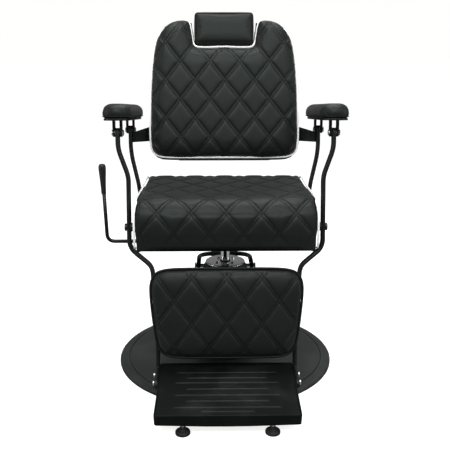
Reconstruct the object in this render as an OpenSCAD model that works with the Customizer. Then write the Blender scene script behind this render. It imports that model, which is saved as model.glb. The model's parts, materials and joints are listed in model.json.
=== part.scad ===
/* [Frame of the chair] */
// Lean of the levers, uprights and calf pad, top to the rear, degrees
frame_lean = 10; // [6:1:14]
// Height of the front armrest pin above the floor
arm_pin_h = 767; // [740:1:800]
// Front armrest pin ahead of the swivel axis
arm_pin_fwd = 156; // [140:1:175]
// Distance between the front and rear armrest pins
arm_pin_pitch = 297; // [280:1:310]
// Fall of the armrest from the front pin to the rear pin, degrees
arm_fall = 5; // [2:1:8]
// Distance from an armrest pin down its tube to the pivot at the seat
link_l = 271; // [260:1:285]
// Width of the flat oval tube, seen from the front
tube_t = 12; // [10:1:16]
// Depth of the flat oval tube, seen from the side
tube_w = 28; // [24:1:34]
// Gap between the seat's side and the tubes beside it
seat_tube_gap = 24; // [21:0.5:28]
// How far the tubes splay outward from the seat to the armrests
tube_splay = 29; // [22:1:34]
// Radius of the pivot bolts at the seat
pivot_r = 6; // [5:0.5:8]
// Radius of the armrest pins
pin_r = 5; // [4:0.5:6]

/* [Base and pump] */
// Diameter of the floor disc
base_d = 700; // [640:5:760]
// Height of the rubber ring round the floor disc
ring_h = 9; // [7:0.5:12]
// Width of the rubber ring
ring_w = 12; // [9:0.5:16]
// Height of the floor disc where it meets the column
dome_h = 30; // [22:1:40]
// Sheet thickness of the floor disc
disc_t = 5; // [4:0.5:8]
// Height of the column cover's top above the floor
column_h = 333; // [325:1:340]
// Diameter of the column cover at its top
column_d = 128; // [116:1:140]
// Diameter of the column cover at its foot
skirt_d = 210; // [190:2:240]
// Sheet thickness of the column cover
cover_t = 3; // [2:0.5:4]
// Thickness of the disc on top of the column
cap_t = 4; // [3:0.5:6]
// Diameter of the lift piston
piston_d = 29; // [26:0.5:34]
// Diameter of the oil cylinder
cylinder_d = 84; // [76:1:96]
// Bore of the oil cylinder
bore_d = 50; // [44:1:56]
// Width of the pump pedal's loop
pedal_w = 186; // [178:2:196]
// Reach of the pedal loop behind the swivel axis
pedal_reach = 168; // [150:2:172]
// Thickness of the pedal's round bar
pedal_bar = 12; // [10:1:14]
// Depth of the pedal's pivot below the top of the column
pedal_drop = 17; // [14:1:24]
// Fall of the pedal loop from its pivot to its far end
pedal_fall = 10; // [0:1:20]
// Radius of the bends of the pedal loop
pedal_bend_r = 34; // [28:1:44]

/* [Seat] */
// Width of the seat cushion between its side faces
seat_w = 502; // [490:2:508]
// Depth of the seat cushion, front to rear
seat_d = 440; // [420:5:460]
// Front face of the seat ahead of the swivel axis
seat_fwd = 250; // [240:1:260]
// Height of the seat's top above the floor, at the lowest lift
seat_h = 583; // [575:1:595]
// Thickness of the seat cushion
seat_t = 138; // [120:1:145]
// Radius of the seat's rolled front edge
seat_roll = 50; // [40:2:60]
// Thickness of the seat board
board_t = 14; // [12:1:18]
// Radius of the white piping
piping_r = 3; // [2.5:0.25:4]
// Thickness of the side plates
plate_t = 6; // [4:0.5:7]
// Height of the steel rails under the seat
rail_h = 28; // [24:1:32]

/* [Quilting] */
// Width of one stitched diamond
diamond_w = 100; // [90:2:110]
// Height of one stitched diamond
diamond_h = 126; // [110:2:140]
// Depth of the stitched valleys
quilt_depth = 6; // [3:0.5:9]

/* [Backrest and headrest] */
// Lean of the backrest, degrees
back_lean = 11; // [8:1:14]
// How far the backrest with its piping stands outside the seat, on each side
back_lip = 2; // [0:0.5:3]
// Height of the backrest along its face
back_h = 466; // [440:2:490]
// Bottom of the backrest above the seat's top
back_gap = 57; // [45:1:70]
// Bottom of the backrest's face behind the swivel axis
back_rear = 190; // [180:1:200]
// Height of the cushion's crown in front of its piping
back_crown = 30; // [22:1:38]
// Depth of the backrest's side band behind the piping
back_band = 36; // [30:1:44]
// How far the notch for the headrest widens to its top, on each side
notch_flare = 8; // [6:0.5:13]
// Height of the notch's floor along the face
notch_floor = 372; // [360:1:380]
// Width of the headrest
head_w = 200; // [190:1:206]
// Height of the headrest
head_h = 110; // [100:1:120]
// Thickness of the headrest
head_t = 62; // [50:1:70]

/* [Armrests] */
// Length of an armrest pad
pad_l = 388; // [370:2:410]
// Width of an armrest pad
pad_w = 88; // [80:1:90]
// Thickness of an armrest pad
pad_t = 44; // [36:1:50]
// Thickness of the board under an armrest pad
arm_board_t = 6; // [5:0.5:9]
// Height from an armrest pin to the underside of the board
clevis_h = 35; // [30:1:42]
// Thickness of a clevis leg
clevis_leg = 6; // [5:0.5:8]

/* [Legrest] */
// How far each lever bends inward under the seat
bend_in = 66; // [60:1:70]
// Distance from the lever pivot down to the corner of the inward bend
bend_drop = 60; // [56:1:68]
// Slant of the inward bend, degrees
bend_angle = 50; // [45:1:58]
// How far each lever draws in from the bend to the footrest
toe_in = 13; // [10:1:17]
// Straight end of the lever above the footrest
toe_run = 76; // [66:1:90]
// How far the calf pad's side stands outside the middle of the lever
calf_lip = 5; // [3:0.5:8]
// Height of the calf pad
calf_h = 260; // [250:2:270]
// Top of the calf pad below the lever pivot, along the lever
calf_drop = 117; // [112:1:125]
// Thickness of the calf pad's edge
calf_edge = 18; // [14:1:22]
// Height of the calf pad's crown over its edge
calf_crown = 24; // [18:1:30]
// Length of the footrest
foot_l = 238; // [225:1:250]
// Rear edge of the footrest ahead of the swivel axis
foot_fwd = 265; // [258:1:275]
// Height of the footrest's rear edge above the floor
foot_h = 100; // [96:1:108]
// Fall of the footrest towards its front, degrees
foot_fall = 9; // [6:1:10]
// Depth of the footrest's rim
foot_rim = 28; // [24:1:30]
// Sheet thickness of the footrest
foot_t = 4; // [3:0.5:5]
// Diameter of a levelling foot
stop_d = 38; // [30:1:44]
// Gap between a levelling foot and the floor
stop_gap = 3; // [2:0.5:6]

/* [Release lever] */
// Thickness of the lever's round rod
rod_d = 10; // [8:0.5:12]
// Distance of the lever's upright rod outside the armrest pins
rod_gap = 63; // [54:1:70]
// Depth of the lever's shaft below the seat cushion
shaft_drop = 30; // [25:1:38]
// Height of the grip's top above the floor
grip_top_h = 660; // [640:1:680]
// Length of the grip
grip_l = 92; // [80:1:105]
// Diameter of the grip at its top
grip_d = 23; // [19:0.5:25]

/* [Hidden] */
$fn = 48;
over = 1;
soft_gap = 0.3;
run_gap = 0.05;
loose_gap = 0.6;
black = [0.06, 0.06, 0.065];
leather = [0.09, 0.09, 0.1];
steel = [0.75, 0.76, 0.78];
grey = [0.22, 0.22, 0.23];

// The four pins of the armrest linkage, as [y, z] seen from the side
front_pin = [-arm_pin_fwd, arm_pin_h];
rear_pin = front_pin + arm_pin_pitch * [cos(arm_fall), -sin(arm_fall)];
link_dir = [-sin(frame_lean), -cos(frame_lean)];
lever_pivot = front_pin + link_l * link_dir;
back_pivot = rear_pin + link_l * link_dir;

// Places across the chair, from the middle
seat_tube_x = seat_w / 2 + seat_tube_gap + tube_t / 2;
arm_x = seat_tube_x + tube_splay;
rod_out = arm_x + rod_gap;
calf_tube_x = seat_tube_x - bend_in;
foot_tube_x = calf_tube_x - toe_in;
foot_w = 2 * foot_tube_x - tube_t - foot_t / 2;
calf_w = 2 * (calf_tube_x + calf_lip);
back_w = seat_w + 2 * back_lip;
notch_w = head_w + 2 * notch_flare;
plate_in = seat_w / 2 + 2 * piping_r + 3 * soft_gap;
plate_out = plate_in + plate_t;
hub_r = tube_w / 2;

// The seat's own levels
seat_bottom = seat_h - seat_t;
seat_rear = seat_d - seat_fwd;
rail_bottom = seat_bottom - rail_h;
shaft_h = seat_bottom - shaft_drop;
hub_plate_t = 8;
hub_len = 30;
hub_bottom = rail_bottom - hub_plate_t - hub_len;

// Draws its children once on the right and once mirrored to the left
module both_sides() { children(); mirror([1, 0, 0]) children(); }
// Picks one side: 1 is right, -1 is left
module on_side(s) { if (s > 0) children(); else mirror([1, 0, 0]) children(); }

// A frame that starts at a pin and runs down the leaning tube: z down the tube, y forward
module down_tube(pin) { translate([0, pin[0], pin[1]]) rotate([180 - frame_lean, 0, 0]) children(); }
// The axis of a sideways pin: the children's z runs along +X
module sideways(pin, x) { translate([x, pin[0], pin[1]]) rotate([0, 90, 0]) children(); }
// A disc or drum with its axis along X, from x0 to x1
module drum(pin, x0, x1, r) { sideways(pin, x0) cylinder(h = x1 - x0, r = r); }

// Two discs across a corner of the flat oval tube, thin in x and deep in y
module tube_corner(c) {
    translate([c[0], 0, c[1]]) rotate([90, 0, 0]) {
        cylinder(h = tube_w - tube_t, r = tube_t / 2, center = true, $fn = 24);
        cylinder(h = tube_w, r = tube_t / 4, center = true, $fn = 24);
    }
}
// A disc across a corner where the tube turns forward
module tube_turn(x, y, z) {
    translate([x - tube_t / 2, y, z]) rotate([0, 90, 0]) cylinder(h = tube_t, r = tube_w / 2, $fn = 32);
}
// A flat oval tube through corners given as [x, distance down the tube]
module flat_tube(corners) {
    for (k = [0 : len(corners) - 2]) hull() {
        tube_corner(corners[k]);
        tube_corner(corners[k + 1]);
    }
}

// Base and pump
ring_lip = ring_h / 4;
rim_r = base_d / 2 - ring_w / 2;
groove_share = 0.907;
groove_r = base_d / 2 * groove_share;
skirt_r = skirt_d / 2;
column_r = column_d / 2;
cylinder_r = cylinder_d / 2;
bore_r = bore_d / 2;
piston_r = piston_d / 2;
cylinder_foot = disc_t + ring_h;
head_len = 28;
pedal_h = column_h - pedal_drop;
piston_foot = cylinder_foot + cap_t * 4;

module base_ring() {
    color(black) rotate_extrude($fn = 96) difference() {
        translate([base_d / 2 - ring_w, 0]) square([ring_w, ring_h]);
        translate([base_d / 2 - ring_w - over, ring_lip]) square([ring_w / 2 + over, ring_h]);
    }
}
// Pressed steel disc: flat rim, raised step at the groove, gentle rise to the column
module base_disc() {
    step_w = disc_t * 1.5;
    top = [[rim_r, ring_lip + disc_t], [groove_r + step_w, ring_h + disc_t / 2],
        [groove_r, ring_h + disc_t * 1.6], [skirt_r, dome_h], [cylinder_r + run_gap, dome_h]];
    low = [[cylinder_r + run_gap, dome_h - disc_t], [skirt_r, dome_h - disc_t],
        [groove_r - disc_t, ring_h + disc_t * 0.6], [groove_r + step_w - disc_t, ring_lip], [rim_r, ring_lip]];
    color(grey) rotate_extrude($fn = 96) polygon(concat(top, low));
}
// Flared cover round the oil cylinder
module column_cover() {
    neck_h = column_h - cap_t - dome_h;
    mid_r = column_r + (skirt_r - column_r) / 3;
    outer = [[skirt_r, 0], [skirt_r - cover_t, cover_t * 2], [mid_r, neck_h * 0.55], [column_r, neck_h]];
    inner = [for (p = [3 : -1 : 0]) outer[p] - [cover_t, 0]];
    color(grey) translate([0, 0, dome_h]) difference() {
        rotate_extrude($fn = 72) polygon(concat(outer, inner));
        both_sides() translate([0, 0, pedal_h - dome_h]) rotate([0, 90, 0])
            cylinder(h = skirt_r, r = pedal_pin_r + loose_gap);
    }
}
module column_cap() {
    color(grey) translate([0, 0, column_h - cap_t]) difference() {
        cylinder(h = cap_t, r = column_r, $fn = 72);
        translate([0, 0, -over]) cylinder(h = cap_t + 2 * over, r = piston_r + cap_t / 2);
        for (a = [40 : 90 : 310]) rotate(a) translate([cap_bolt_at, 0, -over])
            cylinder(h = cap_t + 2 * over, r = cap_bolt_r);
    }
}
cap_bolt_r = 3;
cap_bolt_at = (cylinder_r + bore_r) / 2;
module cap_bolts() {
    color(steel) for (a = [40 : 90 : 310]) rotate(a) translate([cap_bolt_at, 0, column_h]) {
        cylinder(h = cap_bolt_r * 1.4, r = cap_bolt_r * 1.8, $fn = 6);
        translate([0, 0, -cap_t - cap_bolt_r * 4]) cylinder(h = cap_t + cap_bolt_r * 4, r = cap_bolt_r);
    }
}
module oil_cylinder() {
    top = column_h - cap_t;
    color(grey) difference() {
        union() {
            cylinder(h = top, r = cylinder_r, $fn = 72);
            translate([0, 0, dome_h]) cylinder(h = cap_t, r = skirt_r - 3 * cover_t, $fn = 72);
        }
        translate([0, 0, cylinder_foot]) cylinder(h = top - head_len - cylinder_foot, r = bore_r);
        translate([0, 0, top - head_len - over]) cylinder(h = head_len + 2 * over, r = piston_r + run_gap);
        for (a = [40 : 90 : 310]) rotate(a) translate([cap_bolt_at, 0, top - cap_bolt_r * 4])
            cylinder(h = cap_bolt_r * 4 + over, r = cap_bolt_r);
        translate([-pedal_pin_l / 2, 0, pedal_h]) rotate([0, 90, 0])
            difference() {
                cylinder(h = pedal_pin_l, r = pedal_pin_r);
                translate([0, 0, pedal_pin_l / 2 - bore_r - disc_t])
                    cylinder(h = 2 * bore_r + 2 * disc_t, r = pedal_pin_r + over);
            }
    }
}
module cylinder_seal() {
    color(black) translate([0, 0, column_h - cap_t]) difference() {
        cylinder(h = cap_t * 1.5, r = piston_r + cap_t / 2);
        translate([0, 0, -over]) cylinder(h = cap_t * 2 + over, r = piston_r + run_gap);
    }
}
// Stub pins that carry the pedal on both sides of the cylinder
pedal_pin_r = 6;
pedal_eye_r = pedal_bar / 2 + pedal_pin_r;
pedal_pin_l = pedal_w + cap_t;
module pedal_pin() {
    color(steel) both_sides() translate([bore_r + disc_t, 0, pedal_h]) rotate([0, 90, 0]) {
        cylinder(h = pedal_pin_l / 2 - bore_r - disc_t, r = pedal_pin_r);
        translate([0, 0, pedal_pin_l / 2 - bore_r - disc_t]) cylinder(h = cap_t, r = pedal_pin_r * 1.6);
    }
}
// Round bar loop: an eye on each pin, two arms to the rear, two bends and a cross bar
pedal_arm_x = (pedal_w - pedal_bar) / 2;
pedal_arm_l = pedal_reach - pedal_bar / 2 - pedal_bend_r;
pedal_tilt = atan(pedal_fall / (pedal_arm_l + pedal_bend_r));
module pedal_frame() { translate([0, 0, pedal_h]) rotate([-pedal_tilt, 0, 0]) children(); }
module pump_pedal() {
    r = pedal_bar / 2;
    cross = pedal_arm_x - pedal_bend_r;
    color(black) pedal_frame() difference() {
        union() {
            both_sides() {
                translate([pedal_arm_x - r, 0, 0]) rotate([0, 90, 0]) cylinder(h = pedal_bar, r = pedal_eye_r);
                translate([pedal_arm_x, 0, 0]) rotate([-90, 0, 0]) cylinder(h = pedal_arm_l, r = r);
                translate([cross, pedal_arm_l, 0]) rotate_extrude(angle = 90)
                    translate([pedal_bend_r, 0]) circle(r = r);
            }
            translate([-cross, pedal_arm_l + pedal_bend_r, 0]) rotate([0, 90, 0])
                cylinder(h = 2 * cross, r = r);
        }
        translate([-pedal_pin_l / 2, 0, 0]) rotate([0, 90, 0])
            cylinder(h = pedal_pin_l, r = pedal_pin_r + run_gap);
    }
}
module pedal_sleeve() {
    sleeve_l = (pedal_arm_x - pedal_bend_r) * 1.8;
    color(black) pedal_frame() translate([-sleeve_l / 2, pedal_arm_l + pedal_bend_r, 0]) rotate([0, 90, 0])
        difference() {
            cylinder(h = sleeve_l, r = pedal_bar / 2 + cover_t);
            translate([0, 0, -over]) cylinder(h = sleeve_l + 2 * over, r = pedal_bar / 2);
        }
}
// Piston rod with a stepped nose that the swivel hub turns on
nose_r = piston_r - cap_t;
module piston() {
    color(steel) {
        translate([0, 0, piston_foot]) cylinder(h = hub_bottom - piston_foot, r = piston_r);
        translate([0, 0, hub_bottom]) cylinder(h = hub_len + hub_plate_t + run_gap, r = nose_r);
    }
}
module piston_head() {
    color(steel) translate([0, 0, piston_foot]) difference() {
        cylinder(h = head_len, r = bore_r - run_gap);
        translate([0, 0, -over]) cylinder(h = head_len + 2 * over, r = piston_r);
    }
}

// Seat frame
hub_plate_w = 200;
hub_wall = 9;
rail_w = 30;
rail_x = hub_plate_w / 2 - rail_w / 2;
cross_front_y = lever_pivot[0] + 2 * hub_r + rail_w / 2;
cross_rear_y = back_pivot[0];
module swivel_hub() {
    color(black) difference() {
        union() {
            translate([0, 0, hub_bottom]) cylinder(h = hub_len + over, r = nose_r + hub_wall);
            translate([-hub_plate_w / 2, -hub_plate_w / 2, rail_bottom - hub_plate_t])
                cube([hub_plate_w, hub_plate_w, hub_plate_t]);
        }
        translate([0, 0, hub_bottom - over])
            cylinder(h = hub_len + hub_plate_t + 2 * over, r = nose_r + run_gap);
    }
}
module hub_screw() {
    color(steel) translate([0, 0, rail_bottom + run_gap])
        cylinder(h = hub_plate_t, r = nose_r + cap_t, $fn = 6);
}
module seat_rail(s) {
    y0 = cross_front_y + rail_w / 2;
    y1 = cross_rear_y - rail_w / 2;
    color(black) translate([s * rail_x - rail_w / 2, y0, rail_bottom]) cube([rail_w, y1 - y0, rail_h]);
}
module seat_rail_left() { seat_rail(-1); }
module seat_rail_right() { seat_rail(1); }
module cross_rail(y) {
    color(black) translate([-plate_in, y - rail_w / 2, rail_bottom]) cube([2 * plate_in, rail_w, rail_h]);
}
module cross_rail_front() { cross_rail(cross_front_y); }
module cross_rail_rear() { cross_rail(cross_rear_y); }
// Side plate with rounded corners, bored for the two pivot bolts
module side_plate(s) {
    top_r = hub_r;
    low_r = rail_h / 2;
    front = [lever_pivot[0] + plate_nose, seat_h - plate_drop - top_r];
    rear = [back_pivot[0] - hub_r, seat_h - 2 * plate_drop - top_r];
    low_f = [cross_front_y, rail_bottom + low_r];
    low_r_at = [cross_rear_y, rail_bottom + low_r];
    lug = s < 0 ? [[shaft_at, 2.4 * rod_r]] : [];
    corners = concat([[front, top_r], [lever_pivot, hub_r], [low_f, low_r], [low_r_at, low_r],
        [back_pivot, hub_r], [rear, top_r]], lug);
    color(black) on_side(s) translate([plate_in, 0, 0]) rotate([90, 0, 90]) difference() {
        linear_extrude(plate_t) hull() for (c = corners) translate(c[0]) circle(r = c[1], $fn = 32);
        for (p = [lever_pivot, back_pivot]) translate([p[0], p[1], -over])
            cylinder(h = plate_t + 2 * over, r = pivot_r);
        if (s < 0) translate([shaft_at[0], shaft_at[1], -over])
            cylinder(h = plate_t + 2 * over, r = rod_r + run_gap);
    }
}
plate_nose = 10;
plate_drop = 10;
module side_plate_left() { side_plate(-1); }
module side_plate_right() { side_plate(1); }
module pivot_bolts() {
    far = seat_tube_x + tube_t / 2 + run_gap * 10;
    color(steel) both_sides() for (p = [lever_pivot, back_pivot]) {
        drum(p, plate_in, far, pivot_r);
        drum(p, far, far + pivot_r, pivot_r * 1.8);
    }
}
module seat_board() {
    color([0.6, 0.45, 0.28]) translate([-seat_w / 2 + board_t, -seat_fwd + 2 * board_t, seat_bottom])
        cube([seat_w - 2 * board_t, seat_d - 3 * board_t, board_t]);
}

// Stitched diamonds: 0 along the stitched lines, 1 in the middle of a diamond
function puff(x, y) = let (a = x / diamond_w + y / diamond_h, b = x / diamond_w - y / diamond_h)
    sqrt(abs(sin(180 * a) * sin(180 * b)));
// Rounded fall from 1 in the middle to 0 at the ends of -1 to 1
function dome(u) = pow(1 - pow(min(1, abs(u)), 4), 0.5);
function last(v) = v[len(v) - 1];

// Two triangles of a grid cell, cut along its lower diagonal so that valleys join up
function cell(p, a, b, c, d, k) = p[a][k] + p[c][k] < p[b][k] + p[d][k]
    ? [[a, b, c], [a, c, d]] : [[a, b, d], [b, c, d]];

// Cushion slab: x across, y up its face, z out of its face. lo and hi give the ends of
// each column, and the front stands on an edge band with a crown and stitched diamonds
module cushion_slab(half_w, cols, rows, lo, hi, edge, crown, quilt, phase, tuck) {
    nc = cols + 1;
    nr = rows + 1;
    xs = [for (i = [0 : cols]) half_w * (2 * i / cols - 1)];
    front = [for (i = [0 : cols]) for (j = [0 : rows])
        let (x = xs[i], y = lo(x) + (hi(x) - lo(x)) * j / rows, d = dome(x / half_w) * dome(2 * j / rows - 1))
        [x, y, edge + crown * d + quilt * min(1, 2 * d) * (puff(x, y - phase) - 1) * (d > 0 ? 1 : 0)]];
    loop = concat([for (j = [0 : rows - 1]) j], [for (i = [0 : cols - 1]) i * nr + rows],
        [for (j = [rows : -1 : 1]) cols * nr + j], [for (i = [cols : -1 : 1]) i * nr]);
    n = len(loop);
    mid_y = (lo(0) + hi(0)) / 2;
    back = [for (k = loop) let (p = front[k])
        [p[0] - tuck * sign(p[0]), p[1] - tuck * sign(p[1] - mid_y), 0]];
    nf = len(front);
    points = concat(front, back, [[0, mid_y, 0]]);
    tops = [for (i = [0 : cols - 1]) for (j = [0 : rows - 1])
        let (a = i * nr + j, b = a + 1, c = a + nr + 1, d = a + nr) each cell(points, a, b, c, d, 2)];
    sides = [for (k = [0 : n - 1]) let (m = (k + 1) % n)
        each [[loop[m], loop[k], nf + k], [loop[m], nf + k, nf + m]]];
    base = [for (k = [0 : n - 1]) [nf + (k + 1) % n, nf + k, nf + n]];
    polyhedron(concat(points), concat(tops, sides, base));
}

// The seat's side outline as [y, z, normal y, normal z, length so far], rear bottom to front bottom
rear_round = seat_roll / 3;
nose_round = seat_roll / 4;
cells_share = 3;
quilt_step = diamond_h / 2 / cells_share;
top_l = seat_d - seat_roll - rear_round;
face_l = seat_t - seat_roll - nose_round;
roll_l = seat_roll * PI / 2;
top_rows = round(top_l / quilt_step);
roll_rows = 4;
face_rows = 3;
seat_path = concat(
    [[seat_rear, seat_bottom, 1, 0, -rear_round], [seat_rear, seat_h - rear_round, 1, 0, -rear_round]],
    [for (j = [0 : top_rows]) [seat_rear - rear_round - top_l * j / top_rows, seat_h, 0, 1,
        top_l * j / top_rows]],
    [for (j = [1 : roll_rows]) let (a = 90 * j / roll_rows)
        [-seat_fwd + seat_roll * (1 - sin(a)), seat_h - seat_roll * (1 - cos(a)), -sin(a), cos(a),
            top_l + roll_l * j / roll_rows]],
    [for (j = [1 : face_rows]) [-seat_fwd, seat_h - seat_roll - face_l * j / face_rows, -1, 0,
        top_l + roll_l + face_l * j / face_rows]],
    [[-seat_fwd + nose_round, seat_bottom, 0, -1, top_l + roll_l + face_l + nose_round]]);
seat_crown = 10;
// Seat cushion: a rolled top and front in one stitched panel, drawn in at its side seams
module seat_form() {
    half = seat_w / 2;
    cols = 2 * round(half / (diamond_w / 2 / cells_share));
    n = len(seat_path);
    phase = top_l + roll_l * 0.78;
    rings = [for (i = [0 : cols]) for (k = [0 : n - 1])
        let (x = half * (2 * i / cols - 1), s = seat_path[k], d = dome(x / half),
            soft = k > 1 && k < n - 1 ? 1 : 0,
            out = soft * (seat_crown * (d - 1) + quilt_depth * min(1, 2 * d) * (puff(x, s[4] - phase) - 1)))
        [x, s[0] + s[2] * out, s[1] + s[3] * out]];
    mid = [for (x = [-half, half]) [x, (seat_rear - seat_fwd) / 2, (seat_h + seat_bottom) / 2]];
    nr = len(rings);
    height = [for (p = rings) [p[0], p[1], p[2], p[2] - p[1]]];
    skin = [for (i = [0 : cols - 1]) for (k = [0 : n - 1])
        let (m = (k + 1) % n, a = i * n + k, b = i * n + m, c = b + n, d = a + n)
        each cell(height, a, d, c, b, 3)];
    caps = [for (k = [0 : n - 1]) let (m = (k + 1) % n)
        each [[m, k, nr], [cols * n + k, cols * n + m, nr + 1]]];
    polyhedron(concat(rings, mid), concat(skin, caps));
}
module seat_cushion() {
    color(leather) difference() {
        seat_form();
        translate([-seat_w / 2 + board_t - soft_gap, -seat_fwd + 2 * board_t - soft_gap, seat_bottom - over])
            cube([seat_w - 2 * board_t + 2 * soft_gap, seat_d - 3 * board_t + 2 * soft_gap,
                board_t + over]);
    }
}
// Round piping laid along a list of points
module piping(points, r) {
    for (k = [0 : len(points) - 2]) hull() {
        translate(points[k]) sphere(r = r, $fn = 8);
        translate(points[k + 1]) sphere(r = r, $fn = 8);
    }
}
module seat_piping() {
    x = seat_w / 2 + piping_r + soft_gap;
    in = seat_crown - piping_r;
    keep = concat([2], [2 + top_rows], [for (j = [1 : roll_rows]) 2 + top_rows + j], [len(seat_path) - 2]);
    path = concat([[x, seat_rear - piping_r, seat_bottom + nose_round],
            [x, seat_rear - piping_r, seat_h - rear_round - in]],
        [for (k = keep) let (s = seat_path[k]) [x, s[0] - s[2] * in, s[1] - s[3] * in]]);
    color("white") both_sides() piping(path, piping_r);
}

// Release lever: a shaft through the left side plate, an upright rod and a grip
shaft_y = lever_pivot[0] + arm_pin_pitch / 2;
shaft_at = [shaft_y, shaft_h];
rod_r = rod_d / 2;
rod_bend = 2 * rod_d;
lock_x = plate_in - 2 * rod_d;
grip_r = grip_d / 2;
module release_rod() {
    rise = grip_top_h - grip_l / 2 - shaft_h - rod_bend;
    color(black) {
        translate([-rod_out + rod_bend, shaft_y, shaft_h]) rotate([0, 90, 0])
            cylinder(h = rod_out - rod_bend - lock_x + rod_d, r = rod_r);
        translate([-rod_out + rod_bend, shaft_y, shaft_h + rod_bend]) rotate([90, 180, 0])
            rotate_extrude(angle = 90) translate([rod_bend, 0]) circle(r = rod_r);
        translate([-rod_out, shaft_y, shaft_h + rod_bend]) cylinder(h = rise, r = rod_r);
    }
}
module release_grip() {
    color(black) translate([-rod_out, shaft_y, grip_top_h - grip_l]) difference() {
        rotate_extrude() polygon([[0, 0], [grip_r * 0.62, 0], [grip_r * 0.7, grip_l * 0.3],
            [grip_r, grip_l * 0.84], [grip_r * 0.9, grip_l * 0.96], [grip_r / 2, grip_l], [0, grip_l]]);
        translate([0, 0, -over]) cylinder(h = grip_l / 2 + over, r = rod_r);
    }
}
// Arm on the shaft's inner end that works the recline lock
module lock_arm() {
    arm_l = 2.5 * rod_d;
    arm_t = rod_d * 0.8;
    color(steel) translate([-lock_x - rod_d / 2, shaft_y, shaft_h]) rotate([0, 90, 0]) difference() {
        union() {
            cylinder(h = arm_t, r = rod_d);
            translate([0, -rod_r, 0]) cube([arm_l, rod_d, arm_t]);
        }
        translate([0, 0, -over]) cylinder(h = arm_t + 2 * over, r = rod_r);
        translate([arm_l - rod_r, 0, -over]) cylinder(h = arm_t + 2 * over, r = rod_r / 2);
    }
}

// Legrest levers: from the armrest pin past the seat pivot, in under the seat and
// down to the footrest
// Where the lever's line meets the middle line of the footrest's side
foot_line_drop = foot_rim / 2;
foot_dir = [-cos(foot_fall), -sin(foot_fall)];
foot_rear = [-foot_fwd, foot_h];
foot_mid = foot_rear - [0, foot_line_drop / cos(foot_fall)];
lever_to_mid = foot_mid - front_pin;
meet_t = (lever_to_mid[0] * foot_dir[1] - lever_to_mid[1] * foot_dir[0])
    / (link_dir[0] * foot_dir[1] - link_dir[1] * foot_dir[0]);
meet = front_pin + meet_t * link_dir;
side_run = 70;
foot_turn = 90 - frame_lean - foot_fall;
// The lever's corners, down from the armrest pin
upper_slant = 20;
jog_top = 45;
bend_top = link_l + bend_drop;
bend_end = bend_top + bend_in / tan(bend_angle);
toe_end = meet_t - toe_run;
toe_slope = toe_in / (toe_end - bend_end);
lever_corners = [[arm_x, 0], [arm_x, jog_top], [seat_tube_x, jog_top + tube_splay / tan(upper_slant)],
    [seat_tube_x, bend_top], [calf_tube_x, bend_end], [foot_tube_x, toe_end]];
// The eye at a tube's end, a little proud of the tube
eye_r = hub_r * 1.06;
module tube_eye(pin, x) { drum(pin, x - eye_t / 2, x + eye_t / 2, eye_r); }
eye_t = tube_t + loose_gap;
// The eye at the seat pivot, with a boss that reaches in to the side plate
module lever_boss(pin, s) {
    tube_eye(pin, s * seat_tube_x);
    on_side(s) drum(pin, plate_out + loose_gap / 2, seat_tube_x, hub_r * 0.9);
}
module pivot_bore(pin, s) { on_side(s) drum(pin, plate_out, seat_tube_x + tube_t, pivot_r + run_gap); }
module lever(s) {
    color(black) difference() {
        union() {
            on_side(s) down_tube(front_pin) {
                flat_tube(lever_corners);
                hull() {
                    tube_corner(last(lever_corners));
                    tube_turn(foot_tube_x, 0, meet_t);
                }
                hull() {
                    tube_turn(foot_tube_x, 0, meet_t);
                    tube_turn(foot_tube_x, side_run * sin(foot_turn), meet_t + side_run * cos(foot_turn));
                }
            }
            tube_eye(front_pin, s * arm_x);
            lever_boss(lever_pivot, s);
        }
        drum(front_pin, s * arm_x - tube_t, s * arm_x + tube_t, pin_r + loose_gap);
        pivot_bore(lever_pivot, s);
        foot_bolt_holes(s);
    }
}
// Two holes through the tube's foot, along the footrest's side
foot_bolt_r = 4;
foot_bolts = [for (d = [0.38, 0.92]) meet + d * side_run * foot_dir];
module foot_bolt_holes(s) {
    for (p = foot_bolts) drum(p, s * foot_tube_x - tube_t, s * foot_tube_x + tube_t, foot_bolt_r);
}
module lever_left() { lever(-1); }
module lever_right() { lever(1); }

// Flat bars between the levers that carry the calf board. In the lever's frame
// y is forward of the tubes' middle line and z runs down from the front armrest pin
calf_bar_w = 30;
function lever_x(t) = calf_tube_x - (t - bend_end) * toe_slope;
calf_top_t = link_l + calf_drop;
bar_at = [calf_top_t + calf_h * 0.25, calf_top_t + calf_h * 0.75];
module calf_bar(t) {
    half = lever_x(t) - tube_t / 2 - loose_gap / 2 - calf_bar_w / 2 * toe_slope;
    thick = tube_t / 2;
    color(black) down_tube(front_pin) translate([-half, tube_w / 2 - thick, t - calf_bar_w / 2])
        cube([2 * half, thick, calf_bar_w]);
}
module calf_bar_upper() { calf_bar(bar_at[0]); }
module calf_bar_lower() { calf_bar(bar_at[1]); }
// Outline of the calf pad: round top corners, sides that draw in to the bottom
calf_r = 34;
calf_low_r = 40;
calf_draw = 13;
calf_waist = 0.45;
module calf_outline(inset) {
    top = calf_w / 2 - calf_r;
    low = calf_w / 2 - calf_draw - calf_low_r;
    hull() for (s = [-1, 1]) {
        translate([s * top, calf_h - calf_r]) circle(r = calf_r - inset, $fn = 32);
        translate([s * top, calf_h * calf_waist]) circle(r = calf_r - inset, $fn = 32);
        translate([s * low, calf_low_r]) circle(r = calf_low_r - inset, $fn = 32);
    }
}
calf_board_t = 12;
// The calf pad's own frame: x across, y up its face, z forward, from its bottom edge
module calf_frame() {
    down_tube(front_pin) translate([0, tube_w / 2, calf_top_t + calf_h]) rotate([-90, 0, 0])
        children();
}
module calf_board() {
    color(black) calf_frame() linear_extrude(calf_board_t) calf_outline(calf_board_t / 2);
}
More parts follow.
